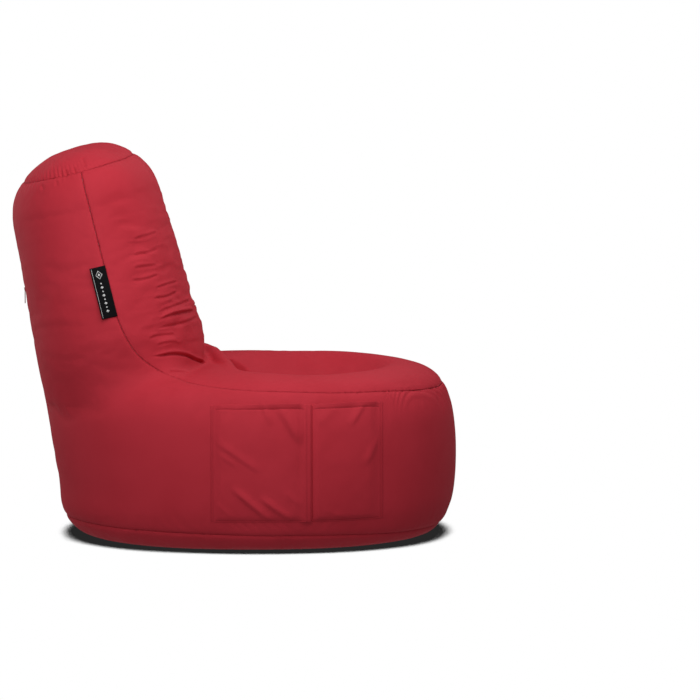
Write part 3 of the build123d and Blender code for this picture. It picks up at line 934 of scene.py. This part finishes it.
def liner_pieces():
    v, quads = relaxed_skin(12.0, 13.0)
    tris = np.concatenate([quads[:, [0, 1, 2]], quads[:, [0, 2, 3]]])
    v, middle = snap_to(v, tris, middle_field, np.zeros(len(v), bool))
    n = normals_of(v, tris)
    lift = 1.3 * noise(v, 58) + 0.7 * noise(v, (23, 23, 31)) - 0.8 * np.exp(-((np.abs(v[:, 1]) / 7) ** 2))
    v = sunk_at_zip(v + lift[:, None] * n, ((26, 12.9), (8, 14.5)))
    left = side_of(middle, tris)
    for name, half in (("inner_bag_skin_right", ~left), ("inner_bag_skin_left", left)):
        mesh = panel_mesh(v, tris[half], gap=0.3, turned_in=1.2)
        bag = piece(name, *mesh, name.replace("_skin", ""), slot="liner_fabric")
        pieces["liner"].append(bag)
    v, quads = relaxed_skin(12.0, 17.5)
    lift = 0.9 * noise(v, 16) + 0.4 * noise(v, 9)
    v = sunk_at_zip(v + lift[:, None] * normals_of(v, quads), ((26, 16.0), (8, 17.0)))
    beads = piece("bead_mass", v, quads, "bead_fill", slot="eps_beads")
    pieces["beads"].append(beads)


liner_pieces()


# ---------------------------------------------------------------- zips
def zip_point(across, along, out, sink=0.0, start=0.0):
    shape = np.broadcast(across, along, out).shape
    across, along, out = (np.broadcast_to(a, shape)[..., None] for a in (across, along, out))
    return ZIP_FOOT + ZIP_UP * (along + start) + ZIP_OUT * (out - sink) - np.array([0, 1.0, 0]) * across


def zip_tape(side, length, sink, start):
    """A woven strip: ribs along it, a firmer edge, and a slight wave."""
    across = np.linspace(0.8, 16.0, 39)[:, None]
    along = np.linspace(-16.0, length + 16.0, int(length / 3))[None, :]
    rib = 0.05 * np.cos(2 * math.pi * across / 1.9) + 0.06 * ramp(across, 14.6, 15.4)
    wave = 0.05 * np.sin(along / 9.0) * ramp(across, 6, 15)
    top = zip_point(side * across, along, -2.15 + rib + wave, sink, start)
    bottom = zip_point(side * across, along, -2.85 - 0.5 * rib + wave, sink, start)
    if side > 0:
        top, bottom = top[::-1], bottom[::-1]
    return slab(top, bottom)


def zip_coil(side, length, sink, start, per_turn, sides):
    """The coiled filament of one row, with the sewing cord it is wound round."""
    pitch = 1.5
    turns = np.arange(0, int(length / pitch) * per_turn + 1) / per_turn
    theta = 2 * math.pi * turns + (math.pi if side > 0 else 0)
    across, out = side * (2.0 + 1.12 * np.cos(theta)), -1.2 + 0.68 * np.sin(theta)
    line = zip_point(across, pitch * turns, out, sink, start)
    ahead = unit(np.gradient(line, axis=0))
    spoke = unit(zip_point(side * np.cos(theta), 0 * turns, np.sin(theta)) - ZIP_FOOT)
    spoke = unit(spoke - (spoke * ahead).sum(1)[:, None] * ahead)
    wire = tube(line, spoke, np.cross(ahead, spoke), 0.26, sides)
    along = np.linspace(0, length, 40)
    core = zip_point(side * 2.0, along, -1.2, sink, start)
    square = np.repeat([[0, 1.0, 0]], len(along), 0)
    return joined([wire, tube(core, square, np.cross(np.repeat([ZIP_UP], len(along), 0), square), 0.3, 6)])


def build_zip(prefix, length, sink, start, per_turn, sides):
    for side, word in ((1, "right"), (-1, "left")):
        mesh = zip_tape(side, length, sink, start)
        tape = piece(f"{prefix}woven_tape_{word}", *mesh, f"{prefix}tape_{word}", slot="zip_tape")
        pieces["tape"].append(tape)
        coil = piece(f"{prefix}wound_coil_{word}", *zip_coil(side, length, sink, start, per_turn, sides),
                     f"{prefix}coil_{word}", slot="zip_coil")
        pieces["coil"].append(coil)


build_zip("zip_", ZIP_LENGTH, 0.0, 0.0, 12, 6)
build_zip("inner_zip_", INNER_LENGTH, INNER_SINK, INNER_START, 8, 5)

sewn_rows = []
for across in (-10.0, 10.0):
    along = np.linspace(-3, ZIP_LENGTH + 3, 60)
    sewn_rows.append((zip_point(across, along, 0.15), np.repeat([ZIP_OUT], 60, 0)))
for along in (-9.0, ZIP_LENGTH + 9.0):
    across = np.linspace(-10, 10, 12)
    sewn_rows.append((zip_point(across, along, 0.15), np.repeat([ZIP_OUT], 12, 0)))
zip_seam = piece("zip_seam_thread", *stitches(sewn_rows))
pieces["thread"].append(zip_seam)


# ---------------------------------------------------------------- side pockets
POCKET_FOOT, POCKET_MOUTH, HEM = 65.0, 301.0, 8.0


def wall_point(x, z):
    """The cover's surface on the sitter's right at side-view places, and the smooth direction out of it."""
    flat_x, flat_z = x.ravel(), z.ravel()
    p = np.empty((len(flat_x), 3))
    for k, (a, b) in enumerate(zip(flat_x, flat_z)):
        hit = skin_tree.ray_cast(Vector((a, -700, b)), Vector((0, 1, 0)))[0]
        p[k] = hit
    out = np.empty_like(p)
    for k in range(3):
        step = np.zeros(3)
        step[k] = 4.0
        out[:, k] = chair_field(p + step) - chair_field(p - step)
    return p.reshape(x.shape + (3,)), unit(out).reshape(x.shape + (3,))


def ridge(x, z, start, end, height, upper, lower):
    """A fold in side view: a crest between two places, its upper and lower flanks of different widths."""
    dx, dz = end[0] - start[0], end[1] - start[1]
    length = math.hypot(dx, dz)
    t = ((x - start[0]) * dx + (z - start[1]) * dz) / length**2
    near = np.clip(t, 0, 1)
    gap = np.hypot(x - start[0] - near * dx, z - start[1] - near * dz)
    over = ((z - start[1]) * dx - (x - start[0]) * dz) * math.copysign(1, dx)
    width = np.where(over > 0, upper, lower)
    return height * np.exp(-((gap / width) ** 2)) * ramp(t, -0.12, 0.3) * ramp(1 - t, -0.12, 0.3)


def spread(marks, coarse, fine):
    """Grid lines from the first mark to the last, closer together beside every mark."""
    places = [marks[0]]
    while places[-1] < marks[-1]:
        gap = min(abs(places[-1] + fine - m) for m in marks)
        places.append(places[-1] + fine + (coarse - fine) * float(ramp(np.array(gap), 2.0, 9.0)))
    places[-1] = marks[-1]
    return np.array(places)


LARGE_FOLDS = (
    ((-38, 133), (34, 70), 5.4, 9.0, 4.2), ((18, 114), (78, 70), 4.6, 8.5, 4.2),
    ((50, 303), (98, 226), 6.0, 15.0, 7.5), ((-75, 230), (16, 168), 2.4, 9.0, 4.4),
    ((20, 303), (38, 262), 2.8, 7.0, 4.5), ((-68, 206), (-30, 178), 1.6, 6.0, 4.0),
    ((64, 128), (98, 98), 1.5, 8.0, 6.0), ((-72, 104), (-40, 74), 1.3, 6.0, 4.0),
)
SMALL_FOLDS = (
    ((224, 300), (196, 258), 3.0, 9.0, 5.0), ((254, 230), (226, 180), 2.4, 9.0, 6.0),
    ((128, 262), (176, 300), 1.4, 10.0, 8.0), ((140, 90), (190, 72), 1.0, 7.0, 5.0),
)


def pocket_height(x, z, body, belly, rise, folds, gape, seed):
    """How far a pocket's cloth stands off the wall."""
    low, high = body
    left, right, foot, down = x - low, high - x, z - POCKET_FOOT, POCKET_MOUTH - z
    inside = ramp(left, -1, rise[0]) * ramp(right, -1, rise[1]) * ramp(foot, -1, 13)
    share = np.clip((x - low) / (high - low), 0, 1)
    tall = foot / (POCKET_MOUTH - POCKET_FOOT)
    beyond = ramp(-np.minimum(left, right), 0.0, 1.0)
    h = 1.0 - 0.45 * beyond + inside * (belly + 1.6 * tall)
    for start, end, height, upper, lower in folds:
        crest = ridge(x, z, start, end, height, upper, lower)
        h = h + crest * ramp(left, 0, 9) * ramp(right, 0, 9) * ramp(foot, 0, 7)
    p = np.column_stack([x.ravel(), z.ravel() + seed, 0 * x.ravel()])
    h = h + (0.9 * noise(p, 52) + 0.35 * noise(p, 21)).reshape(x.shape) * inside
    open_part = ramp(share, gape[1], gape[2]) * ramp(1 - share, -0.01, 0.10)
    h = h + (gape[0] * open_part + 1.0 * inside) * np.clip(1 - down / HEM, 0, 1) ** 0.8
    h = h - 0.9 * np.exp(-(((down - HEM - 0.8) / 1.3) ** 2)) * inside
    h = h - 0.5 * np.exp(-((foot - 3.2) ** 2) / 1.4) * ramp(left, -1, 2) * ramp(right, -1, 2)
    return h


def pocket(name, marks, body, belly, rise, folds, gape, seed, nodes):
    xs = spread(marks, 3.0, 0.8)
    zs = spread((POCKET_FOOT, POCKET_FOOT + 3.2, POCKET_MOUTH - HEM, POCKET_MOUTH), 3.0, 0.9)
    x, z = np.meshgrid(xs, zs, indexing="ij")
    skin_at, out = wall_point(x, z)
    h = pocket_height(x, z, body, belly, rise, folds, gape, seed)
    if name == "pocket_cloth_large":
        h = h + 3.6 * ramp(x, 92, 109) * (1 - ramp(x, 118.8, 120))
    edge = np.minimum(x - marks[0], marks[-1] - x)
    h = h - 0.3 * (1 - ramp(edge, 0, 2.5)) - 0.3 * (1 - ramp(z - POCKET_FOOT, 0, 1.0))
    thick = 0.7 + 0.7 * ramp(z, POCKET_MOUTH - HEM - 1.5, POCKET_MOUTH - HEM + 0.5)
    thick = np.minimum(thick, np.maximum(h - 0.1, 0.2))
    soft = 0.5 * (1 - ramp(POCKET_MOUTH - z, 0, 0.9))
    top, bottom = skin_at + (h - soft)[..., None] * out, skin_at + (h - thick + 0.5 * soft)[..., None] * out
    obj = piece(name, *slab(top, bottom), *nodes)
    pieces["cloth"].append(obj)

    def along(places, lift=0.16):
        """A line on the pocket's cloth through side-view places."""
        i = np.interp([p[0] for p in places], xs, np.arange(len(xs)))
        j = np.interp([p[1] for p in places], zs, np.arange(len(zs)))
        a, b = np.clip(i.astype(int), 0, len(xs) - 2), np.clip(j.astype(int), 0, len(zs) - 2)
        u, w = (i - a)[:, None], (j - b)[:, None]
        lower = top[a, b] * (1 - u) + top[a + 1, b] * u
        upper = top[a, b + 1] * (1 - u) + top[a + 1, b + 1] * u
        spot = lower * (1 - w) + upper * w
        facing = unit(np.cross(top[a + 1, b] - top[a, b], top[a, b + 1] - top[a, b]))
        return spot + lift * facing, facing
    return obj, along


def line_of(a, b, n=60):
    return [(a[0] + (b[0] - a[0]) * t, a[1] + (b[1] - a[1]) * t) for t in np.linspace(0, 1, n)]


large, on_large = pocket("pocket_cloth_large", (-84.5, -76.5, 107.0, 120.0), (-76.5, 107.0), 2.8,
                         (15.0, 20.0),
                         LARGE_FOLDS, (4.4, 0.25, 0.65), 0.0, ("pocket_large",))
small, on_small = pocket("pocket_cloth_small", (120.7, 256.5, 264.5), (120.7, 256.5), 3.2, (13.0, 24.0),
                         SMALL_FOLDS, (2.6, 0.05, 0.4), 400.0, ("pocket_small",))
low, high = POCKET_FOOT + 1.2, POCKET_MOUTH - 1.0
pocket_rows = [
    on_large(line_of((-79.2, low), (-79.2, high))), on_large(line_of((-82.6, low), (-82.6, high))),
    on_large(line_of((109.5, low), (109.5, high))), on_large(line_of((116.5, low), (116.5, high))),
    on_large(line_of((-74, POCKET_FOOT + 3.2), (118, POCKET_FOOT + 3.2))),
    on_large(line_of((-73, POCKET_MOUTH - HEM - 0.8), (105, POCKET_MOUTH - HEM - 0.8))),
    on_small(line_of((259.2, low), (259.2, high))), on_small(line_of((262.6, low), (262.6, high))),
    on_small(line_of((122, POCKET_FOOT + 3.2), (256, POCKET_FOOT + 3.2))),
    on_small(line_of((122, POCKET_MOUTH - HEM - 0.8), (255, POCKET_MOUTH - HEM - 0.8))),
]
pocket_thread = piece("pocket_seam_thread", *stitches(pocket_rows, pitch=3.2, length=2.4, radius=0.26))
pieces["thread"].append(pocket_thread)


# ---------------------------------------------------------------- side label
LABEL_TOP, LABEL_FOOT = np.array([-302.0, -273.0, 577.0]), np.array([-276.0, -288.5, 475.0])
LABEL_WIDTH, LABEL_FLARE = 30.0, math.radians(9.0)


def label_point(u, v, off):
    """A point of the label: u from the seam to the fold, v up along it, off out of its middle."""
    length = np.linalg.norm(LABEL_TOP - LABEL_FOOT)
    up = (LABEL_TOP - LABEL_FOOT) / length
    outward = unit(np.cross(up, [-1.0, 0, 0]))
    back = np.cross(outward, up)
    u, v, off = np.broadcast_arrays(u, v, off)
    s = np.maximum(u / LABEL_WIDTH, 0)
    curl = 0.9 + 30 * math.tan(LABEL_FLARE) * (0.35 * s + 0.65 * s**2) + 0.9 * np.sin(v / 17.0 + 0.6) * s**1.5
    curl = curl + 1.6 * s * (2 * v / length - 1) ** 2
    return LABEL_FOOT + up * v[..., None] + back * u[..., None] + outward * (curl + off)[..., None]


def label():
    length = float(np.linalg.norm(LABEL_TOP - LABEL_FOOT))
    half, bend = 0.42, 0.42
    flat = np.linspace(-2.0, LABEL_WIDTH - bend, 26)
    turn = np.linspace(math.pi / 2, -math.pi / 2, 9)[1:-1]
    u = np.concatenate([flat, LABEL_WIDTH - bend + bend * np.cos(turn), flat[::-1]])[:, None]
    off = np.concatenate([np.full(26, half), bend * np.sin(turn), np.full(26, -half)])[:, None]
    lean = np.concatenate([np.zeros(26), turn - math.pi / 2, np.full(26, -math.pi)])[:, None]
    v = np.linspace(0, length, 44)[None, :]
    rows = []
    for side in (0.18, -0.18):
        turned = lean + math.pi / 2
        rows.append(label_point(u + side * np.cos(turned), v, off + side * np.sin(turned)))
    cloth = slab(rows[0][::-1], rows[1][::-1])

    def thread(outline, raised=0.12):
        """A thin raised patch of thread on the label's face, from a closed outline in (u, v)."""
        pts = np.array(outline, float)
        top = label_point(pts[:, 0], pts[:, 1], half + 0.18 + raised)
        low_side = label_point(pts[:, 0], pts[:, 1], half + 0.1)
        n = len(pts)
        i = np.arange(n)
        j = (i + 1) % n
        cap = np.array([[0, k, k + 1] for k in range(1, n - 1)])
        return np.concatenate([top, low_side]), np.column_stack([i, i + n, j + n, j]), cap

    def lozenge(cu, cv, ru, rv):
        return [(cu + ru, cv), (cu, cv + rv), (cu - ru, cv), (cu, cv - rv)]

    marks = []
    for k in range(34):
        low, high = 2.2 + 3 * k, 5.1 + 3 * k
        marks.append(thread([(26.6, low), (27.3, low), (27.3, high), (26.6, high)]))
    for ring in range(4):
        a, b = lozenge(14.5, 90, 7.0, 9.0), lozenge(14.5, 90, 5.6, 7.2)
        n = (ring + 1) % 4
        marks.append(thread([a[ring], a[n], b[n], b[ring]]))
    marks.append(thread(lozenge(14.5, 90, 2.6, 3.4)))
    for k in range(8):
        marks.append(thread(lozenge(14.5, 72 - 8.2 * k, 3.4 if k % 2 else 2.0, 3.0 if k % 2 else 1.8)))
    obj = piece("woven_side_label", *cloth, "side_label", slot="label_black")
    motif = piece("label_woven_motif", *joined(marks), slot="label_black")
    return obj, motif


label_piece, label_motif = label()


# ---------------------------------------------------------------- materials
class Finish:
    """A procedural material round one Principled shader, in object space."""

    def __init__(self, name, **uniform):
        self.mat = bpy.data.materials.new(name)
        self.mat.use_nodes = True
        self.nodes, self.links = self.mat.node_tree.nodes, self.mat.node_tree.links
        self.bsdf = self.nodes["Principled BSDF"]
        self.coord = self.nodes.new("ShaderNodeTexCoord")
        for key, value in uniform.items():
            self.bsdf.inputs[key.replace("_", " ")].default_value = value

    def add(self, kind, vector=True, **values):
        node = self.nodes.new("ShaderNode" + kind)
        if vector:
            self.links.new(self.coord.outputs["Object"], node.inputs["Vector"])
        for key, value in values.items():
            node.inputs[key.replace("_", " ")].default_value = value
        return node

    def ramped(self, source, low, high, out_low, out_high):
        node = self.add("MapRange", vector=False)
        for k, value in zip((1, 2, 3, 4), (low, high, out_low, out_high)):
            node.inputs[k].default_value = value
        self.links.new(source, node.inputs[0])
        return node.outputs[0]

    def colours(self, factor, first, second):
        node = self.nodes.new("ShaderNodeMix")
        node.data_type = "RGBA"
        node.inputs[6].default_value, node.inputs[7].default_value = (*first, 1), (*second, 1)
        self.links.new(factor, node.inputs[0])
        self.links.new(node.outputs[2], self.bsdf.inputs["Base Color"])

    def bump(self, height, strength, distance):
        node = self.nodes.new("ShaderNodeBump")
        node.inputs["Strength"].default_value, node.inputs["Distance"].default_value = strength, distance
        self.links.new(height, node.inputs["Height"])
        if self.bsdf.inputs["Normal"].links:
            self.links.new(self.bsdf.inputs["Normal"].links[0].from_socket, node.inputs["Normal"])
        self.links.new(node.outputs[0], self.bsdf.inputs["Normal"])

    def weave(self, scale, strength, distance, axes="XYZ"):
        """Crossed threads as fine bands along each axis."""
        total = None
        for axis in axes:
            wave = self.add("TexWave", Scale=scale, Distortion=0.6, Detail=1.0)
            wave.bands_direction = axis
            if total is None:
                total = wave.outputs["Fac"]
                continue
            plus = self.add("Math", vector=False)
            self.links.new(total, plus.inputs[0])
            self.links.new(wave.outputs["Fac"], plus.inputs[1])
            total = plus.outputs[0]
        self.bump(total, strength, distance)


def cloth_finish(name, colour, shade, rough, sheen, weave_scale, weave_strength):
    f = Finish(name, Sheen_Weight=sheen, Sheen_Roughness=0.45, Specular_IOR_Level=0.05)
    f.bsdf.inputs["Sheen Tint"].default_value = (*[min(1.0, 1.7 * c) for c in colour], 1)
    cloud = f.add("TexNoise", Scale=9.0, Detail=6.0)
    f.colours(f.ramped(cloud.outputs[0], 0.3, 0.65, 0.0, 1.0), shade, colour)
    slub = f.add("TexNoise", Scale=420.0, Detail=3.0)
    f.links.new(f.ramped(slub.outputs[0], 0.2, 0.8, rough - 0.06, rough + 0.06), f.bsdf.inputs["Roughness"])
    f.weave(weave_scale, weave_strength, 0.0002)
    f.bump(slub.outputs[0], 0.10, 0.0005)
    return f.mat


RED = cloth_finish("red_polyester", (0.53, 0.034, 0.052), (0.495, 0.030, 0.046), 0.6, 0.15, 900.0, 0.12)
# The thread's dark red is partly its own colour and partly painted shade: it stands in for the dark shade
# line along the stitched pocket edges.
SHADE_DARKENED_THREAD = cloth_finish("red_thread_with_painted_shade", (0.27, 0.014, 0.024), (0.20, 0.011, 0.018), 0.42, 0.15, 1600.0, 0.35)
TAPE = cloth_finish("red_zip_tape", (0.36, 0.020, 0.032), (0.29, 0.016, 0.026), 0.62, 0.10, 1300.0, 0.40)
LINER = cloth_finish("white_nonwoven", (0.74, 0.73, 0.70), (0.66, 0.65, 0.62), 0.70, 0.15, 500.0, 0.25)
BLACK = cloth_finish("black_label_satin", (0.006, 0.006, 0.007), (0.003, 0.003, 0.004), 0.55, 0.02,
                     1500.0, 0.30)
WHITE = cloth_finish("white_label_thread", (0.72, 0.72, 0.72), (0.60, 0.60, 0.60), 0.45, 0.10, 1500.0, 0.30)


def coil_finish():
    f = Finish("red_nylon_coil", Specular_IOR_Level=0.5)
    cloud = f.add("TexNoise", Scale=160.0, Detail=3.0)
    f.colours(f.ramped(cloud.outputs[0], 0.3, 0.7, 0.0, 1.0), (0.26, 0.014, 0.022), (0.34, 0.018, 0.030))
    f.links.new(f.ramped(cloud.outputs[0], 0.3, 0.7, 0.26, 0.38), f.bsdf.inputs["Roughness"])
    f.bump(cloud.outputs[0], 0.15, 0.0001)
    return f.mat


def metal_finish():
    f = Finish("nickel_plate", Metallic=1.0)
    wear = f.add("TexNoise", Scale=260.0, Detail=5.0)
    f.colours(f.ramped(wear.outputs[0], 0.35, 0.7, 0.0, 1.0), (0.50, 0.50, 0.51), (0.66, 0.66, 0.67))
    f.links.new(f.ramped(wear.outputs[0], 0.3, 0.75, 0.40, 0.22), f.bsdf.inputs["Roughness"])
    f.bump(wear.outputs[0], 0.12, 0.0001)
    return f.mat


def bead_finish():
    f = Finish("white_beads_painted_gap_shade", Specular_IOR_Level=0.3)
    cells = f.add("TexVoronoi", Scale=240.0)
    # Painted shade: each bead is lighter in its middle and darker towards its edge, in the gaps between
    # beads.
    f.colours(f.ramped(cells.outputs["Distance"], 0.0, 0.6, 0.0, 1.0), (0.86, 0.86, 0.85), (0.62, 0.62, 0.61))
    f.links.new(f.ramped(cells.outputs["Distance"], 0.0, 0.6, 0.45, 0.7), f.bsdf.inputs["Roughness"])
    f.bump(f.ramped(cells.outputs["Distance"], 0.0, 0.6, 1.0, 0.0), 0.9, 0.0012)
    return f.mat


FINISHES = {
    "cloth": RED, "thread": SHADE_DARKENED_THREAD, "liner": LINER, "tape": TAPE, "coil": coil_finish(),
    "beads": bead_finish(),
}
for kind, finish in FINISHES.items():
    for obj in pieces[kind]:
        obj.data.materials.append(finish)
METAL = metal_finish()
LACQUER = cloth_finish("red_lacquer", (0.30, 0.016, 0.026), (0.24, 0.012, 0.020), 0.35, 0.0, 700.0, 0.05)
for name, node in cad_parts.items():
    node.data.materials.clear()
    node.data.materials.append(LACQUER if name.startswith("zip_") else METAL)
label_piece.data.materials.append(BLACK)
label_motif.data.materials.append(WHITE)
for name in ("zip_slider", "zip_pull", "inner_zip_slider", "zip_end_stops", "zip_foot_stop",
             "inner_zip_end_stops", "inner_zip_foot_stop"):
    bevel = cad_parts[name].modifiers.new("soft_edges", "BEVEL")
    bevel.width, bevel.segments, bevel.limit_method = 0.00018, 2, "ANGLE"


# ---------------------------------------------------------------- floor, light and camera
def camera_only(tree, seen, unseen):
    """Mixes two shaders: one for what the camera sees directly, one for all other light."""
    path = tree.nodes.new("ShaderNodeLightPath")
    mix = tree.nodes.new("ShaderNodeMixShader")
    tree.links.new(path.outputs["Is Camera Ray"], mix.inputs[0])
    tree.links.new(unseen.outputs[0], mix.inputs[1])
    tree.links.new(seen.outputs[0], mix.inputs[2])
    return mix


def floor_mesh():
    """A pale sweep: white to the camera but for the shadow close round the chair's foot."""
    xs = np.linspace(-26000, 26000, 13)
    gx, gy = np.meshgrid(xs, xs, indexing="ij")
    v = np.column_stack([gx.ravel(), gy.ravel(), np.full(gx.size, -0.6)])
    i = np.arange(gx.size).reshape(gx.shape)
    q = np.stack([i[:-1, :-1], i[1:, :-1], i[1:, 1:], i[:-1, 1:]], -1).reshape(-1, 4)
    obj = new_mesh("floor", v, q)
    mat = bpy.data.materials.new("pale_floor")
    mat.use_nodes = True
    tree = mat.node_tree
    tree.nodes.clear()
    near = tree.nodes.new("ShaderNodeAmbientOcclusion")
    near.samples = 16
    near.inputs["Distance"].default_value = SHADOW_REACH
    level = tree.nodes.new("ShaderNodeMapRange")
    level.inputs[1].default_value, level.inputs[2].default_value = SHADOW_RANGE
    level.inputs[3].default_value, level.inputs[4].default_value = 0.02, 1.0
    tree.links.new(near.outputs["AO"], level.inputs[0])
    seen = tree.nodes.new("ShaderNodeEmission")
    tree.links.new(level.outputs[0], seen.inputs["Strength"])
    unseen = tree.nodes.new("ShaderNodeEmission")
    unseen.inputs["Strength"].default_value = FLOOR_BOUNCE
    out = tree.nodes.new("ShaderNodeOutputMaterial")
    tree.links.new(camera_only(tree, seen, unseen).outputs[0], out.inputs[0])
    obj.data.materials.append(mat)


FLOOR_BOUNCE, AMBIENT = 0.27, 0.10
SHADOW_REACH, SHADOW_RANGE = 0.085, (0.445, 0.55)
floor_mesh()

world = bpy.data.worlds.new("studio")
bpy.context.scene.world = world
world.use_nodes = True
sky = world.node_tree
backgrounds = []
for level in (1.0, AMBIENT):
    shade = sky.nodes.new("ShaderNodeBackground")
    shade.inputs[0].default_value = (1, 1, 1, 1)
    shade.inputs[1].default_value = level
    backgrounds.append(shade)
sky.links.new(camera_only(sky, *backgrounds).outputs[0], sky.nodes["World Output"].inputs[0])


def lamp(name, place, aim, size, power):
    """A square soft box that lights the chair and isn't seen itself."""
    data = bpy.data.lights.new(name, "AREA")
    data.shape = "SQUARE"
    data.size = size
    data.energy = power
    obj = bpy.data.objects.new(name, data)
    bpy.context.scene.collection.objects.link(obj)
    obj.location = place
    obj.rotation_euler = (Vector(aim) - Vector(place)).to_track_quat("-Z", "Y").to_euler()
    obj.visible_camera = False


AIM = (0, 0, 0.4)
lamp("key", (0.25, -0.95, 1.7), AIM, 1.7, 18.5)
lamp("low_fill", (-0.55, -1.7, 0.95), AIM, 1.7, 9)
lamp("rear_fill", (-1.3, 0.5, 0.95), AIM, 1.7, 6)
lamp("top_fill", (0.5, 0.5, 1.5), AIM, 1.7, 6)

CAMERA_PLACE, CAMERA_AIM, PIXELS_PER_MM = (0.197, -9.5, 1.285), (0.197, 0, 0.379), 0.478
camera = bpy.data.cameras.new("camera")
camera_object = bpy.data.objects.new("camera", camera)
bpy.context.scene.collection.objects.link(camera_object)
camera_object.location = CAMERA_PLACE
look = Vector(CAMERA_AIM) - Vector(CAMERA_PLACE)
camera_object.rotation_euler = look.to_track_quat("-Z", "Y").to_euler()
camera.sensor_width = 36.0
camera.lens = camera.sensor_width * look.length / (700 / PIXELS_PER_MM * MM)
camera.clip_end = 200
bpy.context.scene.camera = camera_object
bpy.context.scene.view_settings.view_transform = "Standard"
